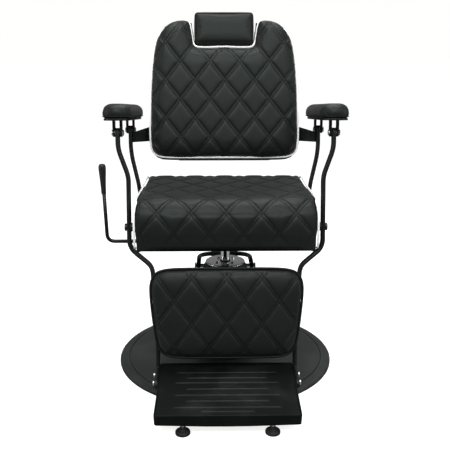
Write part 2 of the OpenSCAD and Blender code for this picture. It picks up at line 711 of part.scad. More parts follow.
// Ends of a column of the pad, from rounded corners of the given radius
function corner_fall(x, half, r) = let (past = max(0, abs(x) - half + r)) r - sqrt(max(0, r * r - past * past));
module calf_cushion() {
    half = calf_w / 2 - piping_r;
    taper = (calf_draw + calf_low_r) * 1.5;
    color(leather) calf_frame() translate([0, 0, calf_board_t]) difference() {
        cushion_slab(half, 26, 12, function(x) max(0, corner_fall(x, half, taper) * 1.6) * 0.9,
            function(x) calf_h - corner_fall(x, half, calf_r), calf_edge, calf_crown, quilt_depth,
            calf_h - diamond_h * 0.27, piping_r);
        translate([0, 0, calf_edge / 2 - soft_gap]) linear_extrude(2 * (piping_r + soft_gap)) difference() {
            calf_outline(-2 * piping_r);
            calf_outline(piping_r + soft_gap);
        }
    }
}
module calf_piping() {
    color(black) calf_frame() translate([0, 0, calf_board_t + calf_edge / 2]) linear_extrude(2 * piping_r)
        difference() { calf_outline(-piping_r / 2); calf_outline(piping_r); }
}

// Footrest: a ribbed tray that slopes down to its front lip
foot_half = foot_w / 2;
module foot_frame() {
    translate([0, foot_rear[0], foot_rear[1]]) rotate([foot_fall, 0, 0]) mirror([0, 1, 0]) children();
}
rib_h = 1.6;
rib_pitch = 26;
rib_w = 4;
long_rib = 0.75;
short_rib = 0.59;
module footrest() {
    ribs = floor((foot_l - 1.5 * rib_pitch) / rib_pitch);
    color([0.1, 0.1, 0.1]) difference() {
        foot_frame() difference() {
            union() {
                difference() {
                    translate([-foot_half, 0, -foot_rim]) cube([foot_w, foot_l, foot_rim]);
                    translate([-foot_half + foot_t, foot_t, -foot_rim - over])
                        cube([foot_w - 2 * foot_t, foot_l - 2 * foot_t, foot_rim - foot_t + over]);
                }
                for (k = [1 : ribs]) let (share = k % 2 == 1 ? long_rib : short_rib)
                    translate([-foot_half * share, rib_pitch * (k + 0.85), -over])
                        cube([foot_w * share, rib_w, over + rib_h]);
                both_sides() translate([stop_x, stop_back, -foot_rim])
                    cylinder(h = foot_rim - foot_t, r = stop_boss_r);
            }
            both_sides() translate([stop_x, stop_back, -foot_rim - over])
                cylinder(h = foot_rim - foot_t + over, r = stem_r);
        }
        both_sides() for (p = foot_bolts) drum(p, foot_half - 2 * foot_t, foot_half + 2 * foot_t, foot_bolt_r);
    }
}
module footrest_bolts() {
    head_r = foot_bolt_r * 1.8;
    out = foot_tube_x + tube_t / 2 + loose_gap / 2;
    color(steel) both_sides() for (p = foot_bolts) {
        drum(p, foot_half - 2 * foot_t, out, foot_bolt_r);
        drum(p, out, out + foot_bolt_r, head_r);
    }
}
// Levelling feet under the footrest's front edge
stem_r = 5;
stop_boss_r = 12;
stop_x = foot_w * 0.31;
stop_back = foot_l - stop_boss_r;
stop_at = foot_rear + stop_back * foot_dir - [0, foot_rim * cos(foot_fall)];
stop_h = 18;
module foot_stems() {
    color(steel) both_sides() {
        foot_frame() translate([stop_x, stop_back, -foot_rim - stem_r])
            cylinder(h = foot_rim, r = stem_r);
        translate([stop_x, stop_at[0], stop_gap + stop_h - stem_r])
            cylinder(h = stop_at[1] - stop_gap - stop_h, r = stem_r);
    }
}
module foot_pads() {
    color(black) both_sides() translate([stop_x, stop_at[0], stop_gap]) difference() {
        rotate_extrude() polygon([[0, 0], [stop_d / 2, 0], [stop_d / 2, stop_h * 0.6], [stop_d * 0.4, stop_h],
            [0, stop_h]]);
        translate([0, 0, stop_h - stem_r]) cylinder(h = stem_r + over, r = stem_r);
    }
}

// Rear uprights, from the rear armrest pin down to the seat pivot
rear_jog_top = 72;
rear_slant = 13;
upright_corners = [[arm_x, 0], [arm_x, rear_jog_top],
    [seat_tube_x, rear_jog_top + tube_splay / tan(rear_slant)], [seat_tube_x, link_l]];
module upright(s) {
    color(black) difference() {
        union() {
            on_side(s) down_tube(rear_pin) flat_tube(upright_corners);
            tube_eye(rear_pin, s * arm_x);
            lever_boss(back_pivot, s);
        }
        drum(rear_pin, s * arm_x - tube_t, s * arm_x + tube_t, pin_r + run_gap);
        pivot_bore(back_pivot, s);
    }
}
module upright_left() { upright(-1); }
module upright_right() { upright(1); }

// The backrest's own frame: x across, y up its face, z forward from its piping
back_foot = [back_rear, seat_h + back_gap];
module back_frame() {
    translate([0, back_foot[0], back_foot[1]]) rotate([90 - back_lean, 0, 0]) children();
}
back_board_t = 12;
shell_t = 5;
back_half = back_w / 2;
strap_t = 5;
strap_share = 0.18;
strap_up = back_h * strap_share;
strap_h = 46;
strap_tab = 90;
shoulder_r = 74;
hip_r = 36;
// Outline of the backrest: round shoulders, slightly narrower waist at the top, a notch
module back_outline(inset) {
    top_half = back_half * 0.93;
    difference() {
        hull() for (s = [-1, 1]) {
            translate([s * (top_half - shoulder_r), back_h - shoulder_r]) circle(r = shoulder_r - inset);
            translate([s * (back_half - shoulder_r), back_h * 0.3]) circle(r = shoulder_r - inset);
            translate([s * (back_half - hip_r), hip_r]) circle(r = hip_r - inset);
        }
        notch_outline(inset);
    }
}
notch_r = 14;
head_gap = 1.5;
module notch_outline(grow) {
    hull() {
        for (s = [-1, 1]) translate([s * (head_w / 2 + head_gap - notch_r), notch_floor + notch_r])
            circle(r = notch_r + grow, $fn = 32);
        translate([-notch_w / 2 - grow, back_h + over]) square([notch_w + 2 * grow, notch_r]);
    }
}
module back_board() {
    color([0.6, 0.45, 0.28]) back_frame() translate([0, 0, -back_band - back_board_t])
        linear_extrude(back_board_t) back_outline(back_board_t / 2);
}
module back_shell() {
    color(leather) back_frame() translate([0, 0, -back_band - back_board_t - shell_t])
        linear_extrude(shell_t) back_outline(shell_t / 2);
}
module back_cushion() {
    half = back_half - piping_r;
    color(leather) back_frame() translate([0, 0, -back_band]) difference() {
        cushion_slab(half, 30, 22, function(x) corner_fall(x, half, hip_r),
            function(x) back_h - corner_fall(x, half, shoulder_r) * 1.5, back_band, back_crown,
            quilt_depth, diamond_h * 0.135, piping_r);
        translate([0, 0, -over]) linear_extrude(back_band + 2 * back_crown) notch_outline(0);
        translate([0, 0, back_band - piping_r - soft_gap]) linear_extrude(2 * (piping_r + soft_gap))
            difference() {
                back_outline(-piping_r);
                back_outline(2 * piping_r + soft_gap);
            }
    }
}
module back_piping() {
    color("white") back_frame() translate([0, 0, -piping_r]) linear_extrude(2 * piping_r)
        difference() { back_outline(0); back_outline(2 * piping_r); }
}
// Steel straps from the uprights, round behind the backrest's board
module strap(s) {
    low = rear_pin[1] - 2 * clevis_w / 2.4 - strap_h / 4;
    tube_y = rear_pin[0] + tan(frame_lean) * (low - rear_pin[1]);
    rear = -back_band - back_board_t - shell_t;
    turn = back_half + strap_t;
    color(black) on_side(s) union() {
        hull() {
            translate([arm_x - tube_t / 2 - strap_t, tube_y - tube_w / 6, low - strap_h / 4])
                cube([strap_t, tube_w / 3, strap_h / 2]);
            back_frame() translate([turn, strap_up - strap_h * 0.46, rear - strap_t * 0.9])
                cube([strap_t, strap_h * 0.92, strap_t * 0.8]);
        }
        back_frame() translate([turn - strap_tab, strap_up - strap_h / 2, rear - strap_t])
            cube([strap_tab + strap_t / 2, strap_h, strap_t]);
    }
}
module strap_left() { strap(-1); }
module strap_right() { strap(1); }
screw_r = 3;
module strap_screws() {
    rear = -back_band - back_board_t - shell_t - strap_t;
    color(steel) both_sides() back_frame() for (dx = [0.35, 0.8]) for (dy = [-0.25, 0.25])
        translate([back_half - strap_tab * dx, strap_up + strap_h * dy, rear - screw_r])
            cylinder(h = screw_r, r = 2 * screw_r);
}

// Headrest: cushion on a board, a flat bar behind it and the guide that the bar slides in
guide_wall = 4;
bar_w = 36;
bar_t = 6;
guide_l = 110;
head_foot = notch_floor + 2 * piping_r;
head_front = back_crown * 0.6;
head_back = head_front - head_t;
bar_back = -back_band - back_board_t - shell_t - guide_wall - soft_gap;
module headrest_cushion() {
    half = head_w / 2;
    edge = head_t * 0.84;
    color(leather) back_frame() translate([0, head_foot, head_back])
        cushion_slab(half, 14, 8, function(x) corner_fall(x, half, head_h / 9),
            function(x) head_h - corner_fall(x, half, head_h / 9), edge, head_t - edge, 0, 0, piping_r);
}
module headrest_board() {
    color(black) back_frame() translate([-head_w / 2 + head_h / 9, head_foot + head_h / 9, head_back - bar_t])
        cube([head_w - head_h / 4.5, head_h * 7 / 9, bar_t]);
}
// Flat bar: a foot behind the headrest's board, then down inside the guide
module headrest_bar() {
    low = head_foot - guide_l - head_h / 3;
    color(steel) back_frame() {
        translate([-bar_w / 2, low, bar_back - bar_t]) cube([bar_w, head_foot + head_h * 0.7 - low, bar_t]);
        translate([-bar_w / 2, head_foot + head_h * 0.3, bar_back - over])
            cube([bar_w, head_h * 0.4, head_back - bar_t - bar_back + over]);
    }
}
module headrest_guide() {
    rear = -back_band - back_board_t - shell_t;
    out_w = bar_w + 2 * guide_wall + 2 * soft_gap;
    color(black) back_frame() translate([0, head_foot - guide_l - head_h / 5, 0]) difference() {
        translate([-out_w / 2, 0, bar_back - bar_t - soft_gap - guide_wall])
            cube([out_w, guide_l, rear - bar_back + bar_t + soft_gap + guide_wall]);
        translate([-bar_w / 2 - soft_gap, -over, bar_back - bar_t - soft_gap])
            cube([bar_w + 2 * soft_gap, guide_l + 2 * over, bar_t + 2 * soft_gap]);
    }
}

// Armrests: a frame with its origin at the front pin, x across, y to the rear, z up
board_l = pad_l - pad_w / 3;
pad_ahead = (pad_l - arm_pin_pitch) / 2 + over;
module arm_frame(s) {
    translate([s * arm_x, front_pin[0], front_pin[1]]) rotate([-arm_fall, 0, 0]) children();
}
clevis_in = tube_t / 2 + 2 * loose_gap;
clevis_w = tube_w;
board_inset = 7;
module arm_board(s) {
    half = pad_w / 2 - board_inset;
    color(black) arm_frame(s) difference() {
        union() {
            translate([0, 0, clevis_h]) linear_extrude(arm_board_t) hull()
                for (y = [-pad_ahead + half, board_l - pad_ahead - half + pad_w / 6]) translate([0, y])
                    circle(r = half, $fn = 40);
            for (y = [0, arm_pin_pitch]) for (m = [-1, 1])
                translate([m * (clevis_in + clevis_leg / 2) - clevis_leg / 2, y, 0]) {
                    rotate([0, 90, 0]) cylinder(h = clevis_leg, r = clevis_w / 2.4);
                    translate([0, -clevis_w / 2.4, 0]) cube([clevis_leg, clevis_w / 1.2, clevis_h + over]);
                }
        }
        for (y = [0, arm_pin_pitch]) translate([-pad_w / 2, y, 0]) rotate([0, 90, 0])
            cylinder(h = pad_w, r = pin_r);
    }
}
module arm_board_left() { arm_board(-1); }
module arm_board_right() { arm_board(1); }
module arm_pad(s) {
    half = pad_w / 2;
    edge = pad_t * 0.45;
    color(leather) arm_frame(s) translate([0, -pad_ahead, clevis_h + arm_board_t])
        cushion_slab(half, 10, 18, function(x) corner_fall(x, half, half) * 0.9,
            function(x) pad_l - corner_fall(x, half, half) * 0.9, edge, pad_t - edge, 0, 0, 2 * piping_r);
}
module arm_pad_left() { arm_pad(-1); }
module arm_pad_right() { arm_pad(1); }
// Pins with a head on their inner end and a nut on their outer end
pin_half = clevis_in + clevis_leg;
module clevis_pins(s) {
    color(steel) arm_frame(s) for (y = [0, arm_pin_pitch]) translate([0, y, 0]) rotate([0, 90, 0]) {
        translate([0, 0, -pin_half]) cylinder(h = 2 * pin_half + pin_r, r = pin_r);
        translate([0, 0, -pin_half - pin_r * 0.7]) cylinder(h = pin_r * 0.7, r = pin_r * 1.6);
    }
}
module clevis_pins_left() { clevis_pins(-1); }
module clevis_pins_right() { clevis_pins(1); }
module clevis_nuts(s) {
    color(steel) arm_frame(s) for (y = [0, arm_pin_pitch]) translate([pin_half, y, 0]) rotate([0, 90, 0])
        difference() {
            cylinder(h = pin_r * 0.9, r = pin_r * 1.7, $fn = 6);
            translate([0, 0, -over]) cylinder(h = pin_r + 2 * over, r = pin_r);
        }
}
module clevis_nuts_left() { clevis_nuts(-1); }
module clevis_nuts_right() { clevis_nuts(1); }

base_ring();
base_disc();
column_cover();
column_cap();
oil_cylinder();
cylinder_seal();
cap_bolts();
pedal_pin();
pump_pedal();
pedal_sleeve();
piston();
piston_head();
swivel_hub();
hub_screw();
seat_rail_left();
seat_rail_right();
cross_rail_front();
cross_rail_rear();
side_plate_left();
side_plate_right();
pivot_bolts();
seat_board();
seat_cushion();
seat_piping();
release_rod();
release_grip();
lock_arm();
lever_left();
lever_right();
calf_bar_upper();
calf_bar_lower();
calf_board();
calf_cushion();
calf_piping();
footrest();
footrest_bolts();
foot_stems();
foot_pads();
upright_left();
upright_right();
strap_left();
strap_right();
strap_screws();
back_board();
back_cushion();
back_piping();
back_shell();
headrest_guide();
headrest_bar();
headrest_board();
headrest_cushion();
arm_board_left();
arm_pad_left();
clevis_pins_left();
clevis_nuts_left();
arm_board_right();
arm_pad_right();
clevis_pins_right();
clevis_nuts_right();
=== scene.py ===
import json
import math

import bmesh
import bpy
import numpy as np
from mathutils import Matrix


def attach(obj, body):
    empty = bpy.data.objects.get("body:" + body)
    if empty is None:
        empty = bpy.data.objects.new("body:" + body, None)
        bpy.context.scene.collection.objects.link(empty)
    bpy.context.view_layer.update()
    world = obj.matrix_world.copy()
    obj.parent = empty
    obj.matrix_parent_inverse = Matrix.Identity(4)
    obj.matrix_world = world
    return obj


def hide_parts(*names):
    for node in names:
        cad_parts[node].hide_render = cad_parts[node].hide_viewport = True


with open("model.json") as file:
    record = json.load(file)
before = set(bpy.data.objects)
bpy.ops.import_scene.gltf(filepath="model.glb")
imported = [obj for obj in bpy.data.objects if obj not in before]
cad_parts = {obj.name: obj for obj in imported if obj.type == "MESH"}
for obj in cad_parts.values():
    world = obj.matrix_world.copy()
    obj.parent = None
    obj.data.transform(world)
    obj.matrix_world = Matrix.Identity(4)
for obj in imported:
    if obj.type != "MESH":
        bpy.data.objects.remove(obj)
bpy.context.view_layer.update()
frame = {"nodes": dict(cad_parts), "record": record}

# ---- The studio ----
# A white room: a pale floor that runs to the horizon, soft boxes all round and above, and
# a camera a metre up that looks down a little at the chair from straight ahead.
scene = bpy.context.scene
camera_data = bpy.data.cameras.new("camera")
camera_data.lens = 53.6
camera_data.sensor_width = 36
camera = bpy.data.objects.new("camera", camera_data)
camera.location = (-0.03138, -2.08216, 1.00125)
camera.rotation_euler = (math.radians(90 - 14.777), 0, math.radians(-0.85))
scene.collection.objects.link(camera)
scene.camera = camera
scene.view_settings.view_transform = "Standard"


def put(tree, kind, inputs=None, **settings):
    """Adds a shader node. settings are its properties, inputs are socket values or the sockets that feed it."""
    made = tree.nodes.new("ShaderNode" + kind)
    for key, value in settings.items():
        setattr(made, key, value)
    for key, value in (inputs or {}).items():
        if isinstance(value, bpy.types.NodeSocket):
            tree.links.new(value, made.inputs[key])
        else:
            made.inputs[key].default_value = value
    return made


world = bpy.data.worlds.new("white_room")
world.use_nodes = True
tree = world.node_tree
tree.nodes.clear()
path = put(tree, "LightPath").outputs
way = put(tree, "SeparateXYZ", {0: put(tree, "TexCoord").outputs["Generated"]}).outputs
wall = put(tree, "MapRange", {"Value": way["Y"], "From Min": -0.6, "From Max": 0.3, "To Min": 0.08,
           "To Max": 0.20}, interpolation_type="SMOOTHSTEP").outputs[0]
mirrored_ray = put(tree, "Math", {0: path["Is Glossy Ray"], 1: path["Is Transmission Ray"]},
                   operation="MAXIMUM").outputs[0]
level = put(tree, "Mix", {"Factor": mirrored_ray, "A": 0.34, "B": wall}).outputs[0]
level = put(tree, "Mix", {"Factor": path["Is Camera Ray"], "A": level, "B": 1.0}).outputs[0]
backdrop = put(tree, "Background", {"Color": (1, 1, 0.985, 1), "Strength": level})
put(tree, "OutputWorld", {"Surface": backdrop.outputs[0]})
scene.world = world


def soft_box(name, place, aim, size, power):
    """A rectangular lamp at place that faces aim, both in metres, with its power in watts."""
    lamp = bpy.data.lights.new(name, "AREA")
    lamp.shape = "RECTANGLE"
    lamp.size, lamp.size_y = size
    lamp.energy = power
    holder = bpy.data.objects.new(name, lamp)
    away = np.array(place, float) - np.array(aim, float)
    away /= np.linalg.norm(away)
    holder.location = place
    holder.rotation_euler = (math.acos(away[2]), 0, math.atan2(away[0], -away[1]))
    scene.collection.objects.link(holder)


soft_box("key_box", (-0.4, -2.6, 3.0), (0, 0, 0.8), (2.4, 1.2), 84)
soft_box("fill_box", (1.7, -2.2, 2.5), (0, 0, 0.8), (1.4, 1.2), 24)
soft_box("top_box", (0, 0, 2.9), (0, 0, 0.3), (2.4, 1.3), 64)
soft_box("left_box", (-2.6, -0.5, 1.3), (0, 0, 0.6), (0.5, 1.8), 16)
soft_box("rear_box", (0.5, 2.2, 3.4), (0, 0, 0.7), (1.4, 1.0), 22)
soft_box("right_box", (2.6, -0.5, 1.3), (0, 0, 0.6), (0.5, 1.8), 12)

floor_mesh = bpy.data.meshes.new("floor")
reach = 60.0
floor_mesh.from_pydata([(-reach, -reach, 0), (reach, -reach, 0), (reach, reach, 0), (-reach, reach, 0)], [],
                       [(0, 1, 2, 3)])
floor = bpy.data.objects.new("floor", floor_mesh)
scene.collection.objects.link(floor)
floor_paint = bpy.data.materials.new("floor_paint")
floor_paint.use_nodes = True
tree = floor_paint.node_tree
tree.nodes.clear()
seen = put(tree, "LightPath").outputs["Is Camera Ray"]
glow = put(tree, "Math", {0: seen, 1: 0.82}, operation="MULTIPLY")
shade = put(tree, "MapRange", {"Value": seen, "To Min": 0.22, "To Max": 0.58}).outputs[0]
paint = put(tree, "BsdfPrincipled", {"Base Color": shade, "Roughness": 0.9,
            "Specular IOR Level": 0.0, "Emission Color": (1, 1, 0.985, 1), "Emission Strength": glow.outputs[0]})
put(tree, "OutputMaterial", {"Surface": paint.outputs[0]})
floor_mesh.materials.append(floor_paint)

# ---- Finishes that several pieces share ----
# Each effect is one shader group: leather grain, sewn diamonds, and the
# smudges and fine scratches that hands and shoes leave on the powder coat and every other surface.


def group(name, inputs, outputs):
    """A shader group with named sockets: inputs are (name, socket type, value), outputs (name, socket type)."""
    made = bpy.data.node_groups.new(name, "ShaderNodeTree")
    for label, kind, value in inputs:
        made.interface.new_socket(label, in_out="INPUT", socket_type=kind).default_value = value
    for label, kind in outputs:
        made.interface.new_socket(label, in_out="OUTPUT", socket_type=kind)
    return made, made.nodes.new("NodeGroupInput").outputs, made.nodes.new("NodeGroupOutput")


VEC, COL, NUM = "NodeSocketVector", "NodeSocketColor", "NodeSocketFloat"


def math_node(tree, operation, first, second=0.0, third=0.0):
    """The output of one Math node."""
    return put(tree, "Math", {0: first, 1: second, 2: third}, operation=operation).outputs[0]


def smooth_range(tree, value, low, high, to_low=0.0, to_high=1.0):
    """value carried smoothly from low..high to to_low..to_high."""
    return put(tree, "MapRange", {"Value": value, "From Min": low, "From Max": high, "To Min": to_low,
               "To Max": to_high}, interpolation_type="SMOOTHSTEP").outputs[0]


def tint(tree, base, amount):
    """base colour brightened or darkened by amount, where 1 leaves it as it is."""
    return put(tree, "VectorMath", {0: base, "Scale": amount}, operation="SCALE").outputs[0]


# Leather grain: cells about a millimetre wide with fine creases between them
grain, gi, go = group("leather_grain", [("Place", VEC, (0, 0, 0)), ("Cell", NUM, 900.0), ("Colour", COL, (0, 0, 0, 1)),
                      ("Roughness", NUM, 0.4)], [("Colour", COL), ("Roughness", NUM), ("Height", NUM)])
cells = put(grain, "TexVoronoi", {"Vector": gi["Place"], "Scale": gi["Cell"], "Randomness": 0.85},
            feature="SMOOTH_F1")
creases = put(grain, "TexNoise", {"Vector": gi["Place"], "Scale": 160.0, "Detail": 4.0, "Roughness": 0.6})
patches = put(grain, "TexNoise", {"Vector": gi["Place"], "Scale": 14.0, "Detail": 3.0, "Roughness": 0.55})
pebble = smooth_range(grain, cells.outputs["Distance"], 0.1, 0.75, 1.0, 0.0)
crease = smooth_range(grain, creases.outputs["Fac"], 0.35, 0.65)
bumps = math_node(grain, "MULTIPLY_ADD", pebble, 0.7, math_node(grain, "MULTIPLY", crease, 0.3))
shade = math_node(grain, "MULTIPLY_ADD", bumps, 0.22, smooth_range(grain, patches.outputs["Fac"], 0.3, 0.7, 0.78, 0.98))
grain.links.new(tint(grain, gi["Colour"], shade), go.inputs["Colour"])
grain.links.new(math_node(grain, "MULTIPLY_ADD", patches.outputs["Fac"], 0.12,
                math_node(grain, "SUBTRACT", gi["Roughness"], math_node(grain, "MULTIPLY", pebble, 0.06))),
                go.inputs["Roughness"])
grain.links.new(bumps, go.inputs["Height"])

# Sewn diamonds: a row of thread on each side of every seam line, sunk into the leather
sewn, si, so = group("sewn_diamonds", [("Place", VEC, (0, 0, 0)), ("Width", NUM, 0.1), ("Height", NUM, 0.126),
                     ("Row", NUM, 0.0042)], [("Valley", NUM), ("Thread", NUM), ("Height", NUM)])
axes = put(sewn, "SeparateXYZ", {0: si["Place"]}).outputs
across = math_node(sewn, "DIVIDE", axes["X"], si["Width"])
along = math_node(sewn, "DIVIDE", axes["Y"], si["Height"])
slope = math_node(sewn, "SQRT", math_node(sewn, "ADD",
                  math_node(sewn, "POWER", math_node(sewn, "DIVIDE", 1.0, si["Width"]), 2.0),
                  math_node(sewn, "POWER", math_node(sewn, "DIVIDE", 1.0, si["Height"]), 2.0)))
valleys, threads = [], []
for turn in ("ADD", "SUBTRACT"):
    line = math_node(sewn, turn, across, along)
    run = math_node(sewn, "SUBTRACT" if turn == "ADD" else "ADD", across, along)
    off = math_node(sewn, "DIVIDE", math_node(sewn, "PINGPONG", line, 0.5), slope)
    from_row = math_node(sewn, "ABSOLUTE", math_node(sewn, "SUBTRACT", off, si["Row"]))
    valleys.append(smooth_range(sewn, from_row, 0.0, 0.0026))
    stitch_run = math_node(sewn, "DIVIDE", run, math_node(sewn, "MULTIPLY", slope, 0.0045))
    stitch = math_node(sewn, "PINGPONG", stitch_run, 0.5)
    threads.append(math_node(sewn, "MULTIPLY", smooth_range(sewn, from_row, 0.0003, 0.0008, 1.0, 0.0),
                             smooth_range(sewn, stitch, 0.08, 0.16)))
# valley is 0 along the rows of thread and 1 away from them; it shapes the height, and sewn_hide also paints it into the
# colour as shade.
valley = math_node(sewn, "MULTIPLY", valleys[0], valleys[1])
thread = math_node(sewn, "MAXIMUM", threads[0], threads[1])
sewn.links.new(valley, so.inputs["Valley"])
sewn.links.new(thread, so.inputs["Thread"])
sewn.links.new(math_node(sewn, "MULTIPLY_ADD", thread, 0.35, valley), so.inputs["Height"])

# Wear: soft smudges, dust in the hollows of a noise, and hair-fine scratches along one axis
wear, wi, wo = group("handled_surface", [("Place", VEC, (0, 0, 0)), ("Colour", COL, (0, 0, 0, 1)),
                     ("Roughness", NUM, 0.3), ("Smudge", NUM, 0.1), ("Dust", NUM, 0.02), ("Peel", NUM, 700.0)],
                     [("Colour", COL), ("Roughness", NUM), ("Height", NUM)])
smudges = put(wear, "TexNoise", {"Vector": wi["Place"], "Scale": 9.0, "Detail": 5.0, "Roughness": 0.6})
peel = put(wear, "TexNoise", {"Vector": wi["Place"], "Scale": wi["Peel"], "Detail": 2.0})
stretched = put(wear, "Mapping", {"Vector": wi["Place"], "Scale": (18, 900, 900),
                "Rotation": (0.2, 0.1, 0.5)})
hairs = put(wear, "TexNoise", {"Vector": stretched.outputs[0], "Scale": 1.0, "Detail": 2.0})
scratch = smooth_range(wear, hairs.outputs["Fac"], 0.68, 0.74)
soil = smooth_range(wear, smudges.outputs["Fac"], 0.42, 0.72)
dusty = math_node(wear, "MULTIPLY", soil, wi["Dust"])
veiled = put(wear, "Mix", {"Factor": dusty, 6: wi["Colour"], 7: (0.32, 0.31, 0.29, 1)}, data_type="RGBA")
wear.links.new(tint(wear, veiled.outputs[2], math_node(wear, "MULTIPLY_ADD", scratch, 0.5, 1.0)), wo.inputs["Colour"])
wear.links.new(math_node(wear, "ADD", wi["Roughness"], math_node(wear, "MULTIPLY", wi["Smudge"],
               math_node(wear, "ADD", soil, scratch))), wo.inputs["Roughness"])
wear.links.new(math_node(wear, "MULTIPLY_ADD", scratch, -0.3, peel.outputs["Fac"]), wo.inputs["Height"])


def finish(name, rows=None, bump=0.0001, **shader):
    """A Principled material. rows takes the tree and gives {"Base Color": ..., "Roughness": ..., "Height": ...}."""
    made = bpy.data.materials.new(name)
    made.use_nodes = True
    tree = made.node_tree
    tree.nodes.clear()
    fed = rows(tree)
    height = fed.pop("Height")
    fed["Normal"] = put(tree, "Bump", {"Strength": 1.0, "Distance": bump, "Height": height}).outputs[0]
    fed.update({key.replace("_", " "): value for key, value in shader.items()})
    skin = put(tree, "BsdfPrincipled", fed)
    put(tree, "OutputMaterial", {"Surface": skin.outputs[0]})
    return made


def use(tree, shared, **values):
    """One placed copy of a shared group, read in the piece's own coordinates."""
    placed = tree.nodes.new("ShaderNodeGroup")
    placed.node_tree = shared
    here = put(tree, "TexCoord").outputs["Object"]
    tree.links.new(here, placed.inputs["Place"])
    for key, value in values.items():
        if isinstance(value, bpy.types.NodeSocket):
            tree.links.new(value, placed.inputs[key])
        else:
            placed.inputs[key].default_value = value
    return placed.outputs


def all_over(shared, colour, **values):
    """Rows for a finish that is one shared group and nothing else."""
    def rows(tree):
        out = use(tree, shared, Colour=(*colour, 1), **values)
        return {"Base Color": out["Colour"], "Roughness": out["Roughness"], "Height": out["Height"]}
    return rows


def painted(colour, roughness, smudge, dust, peel):
    """Rows for a hard finish: paint, plated steel, plastic or rubber with the shared wear."""
    return all_over(wear, colour, Roughness=roughness, Smudge=smudge, Dust=dust, Peel=peel)


cool_gleam = (0.9, 1, 0.97, 1)
black_paint = finish("black_powder_coat", painted((0.0070, 0.0080, 0.0078), 0.34, 0.10, 0.03, 900.0), 0.00006,
                     Specular_IOR_Level=0.22, Specular_Tint=cool_gleam)
zinc_plate = finish("zinc_plate", painted((0.62, 0.63, 0.64), 0.28, 0.16, 0.10, 500.0), 0.00004, Metallic=1.0)
chrome_plate = finish("chrome_plate", painted((0.80, 0.81, 0.82), 0.06, 0.10, 0.04, 120.0), 0.00001, Metallic=1.0)
black_rubber = finish("black_rubber", painted((0.010, 0.010, 0.010), 0.62, 0.12, 0.08, 1200.0), 0.00012,
                      Specular_IOR_Level=0.3)


def unit(vectors):
    """Each row made one long."""
    return vectors / np.linalg.norm(vectors, axis=1)[:, None]


def running(steps):
    """The sum of the steps before each place, from 0."""
    return np.concatenate([[0], np.cumsum(steps)])


def mesh_piece(name, points, faces, paint, body, slot_name, node=None, weld=True):
    """A piece at the origin from points in millimetres and faces as rows of indices, normals turned outwards. It
    stands for node, where one is given."""
    mesh = bpy.data.meshes.new(name)
    mesh.from_pydata((np.asarray(points, float) * 0.001).tolist(), [], [list(map(int, f)) for f in faces])
    work = bmesh.new()
    work.from_mesh(mesh)
    if weld:
        bmesh.ops.remove_doubles(work, verts=work.verts, dist=0.00001)
    bmesh.ops.recalc_face_normals(work, faces=work.faces)
    work.to_mesh(mesh)
    work.free()
    mesh.shade_smooth()
    mesh.materials.append(paint)
    piece = bpy.data.objects.new(name, mesh)
    scene.collection.objects.link(piece)
    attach(piece, body)
    if node is not None:
        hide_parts(node)
    return piece


def grid_faces(rows, columns, round_rows=False, round_columns=False):
    """Quads between neighbours of a grid of points, closed round where asked."""
    i, j = np.meshgrid(np.arange(rows if round_rows else rows - 1),
                       np.arange(columns if round_columns else columns - 1), indexing="ij")
    k, m = (i + 1) % rows, (j + 1) % columns
    return np.stack([i * columns + j, k * columns + j, k * columns + m, i * columns + m], -1).reshape(-1, 4)


def eased(corners, radius, steps=8, closed=False):
    """A path through corner points with its corners rounded: each one is cut at radius from the corner, and the
    cut is bridged by (1-s)^2 A + 2s(1-s) B + s^2 C."""
    corners = np.asarray(corners, float)
    radius = np.broadcast_to(radius, len(corners))
    s = np.linspace(0, 1, steps)[:, None]
    parts = [] if closed else [corners[:1]]
    for k in range(0 if closed else 1, len(corners) if closed else len(corners) - 1):
        a, b, c = corners[k - 1], corners[k], corners[(k + 1) % len(corners)]
        la, lc = np.linalg.norm(a - b), np.linalg.norm(c - b)
        a, c = b + (a - b) * min(radius[k], la * 0.49) / la, b + (c - b) * min(radius[k], lc * 0.49) / lc
        parts.append((1 - s) ** 2 * a + 2 * s * (1 - s) * b + s ** 2 * c)
    return np.concatenate(parts if closed else parts + [corners[-1:]])


def carried(path, section, side, closed=False, scale=None):
    """Points and faces of a section carried along a path. Each ring is path + u a + v b, where a is side made
    square to the path and b = tangent x a. Open ends are closed with a fan."""
    path = np.asarray(path, float)
    ahead = np.roll(path, -1, 0) - np.roll(path, 1, 0)
    if not closed:
        ahead[0], ahead[-1] = path[1] - path[0], path[-1] - path[-2]
    ahead, side = unit(ahead), np.asarray(side, float)
    a = unit(side - (ahead @ side)[:, None] * ahead)
    b = np.cross(ahead, a)
    size = np.ones((len(path), 2)) if scale is None else scale
    rings = (path[:, None] + section[None, :, :1] * (size[:, :1] * a)[:, None]
             + section[None, :, 1:] * (size[:, 1:] * b)[:, None])
    n = len(section)
    faces = grid_faces(len(path), n, closed, True).tolist()
    points = rings.reshape(-1, 3)
    if not closed:
        points = np.concatenate([points, path[:1], path[-1:]])
        m, last = len(points) - 2, (len(path) - 1) * n
        faces += [[m, (k + 1) % n, k] for k in range(n)] + [[m + 1, last + k, last + (k + 1) % n] for k in range(n)]
    return points, faces


def ring(radius, steps=16):
    """A round section."""
    t = np.arange(steps) / steps * 2 * np.pi
    return np.stack([radius * np.cos(t), radius * np.sin(t)], 1)


def joined(*parts):
    """Several sets of points and faces as one."""
    points, faces, n = [], [], 0
    for p, f in parts:
        points.append(np.asarray(p, float))
        faces += [[int(i) + n for i in face] for face in f]
        n += len(p)
    return np.concatenate(points), faces


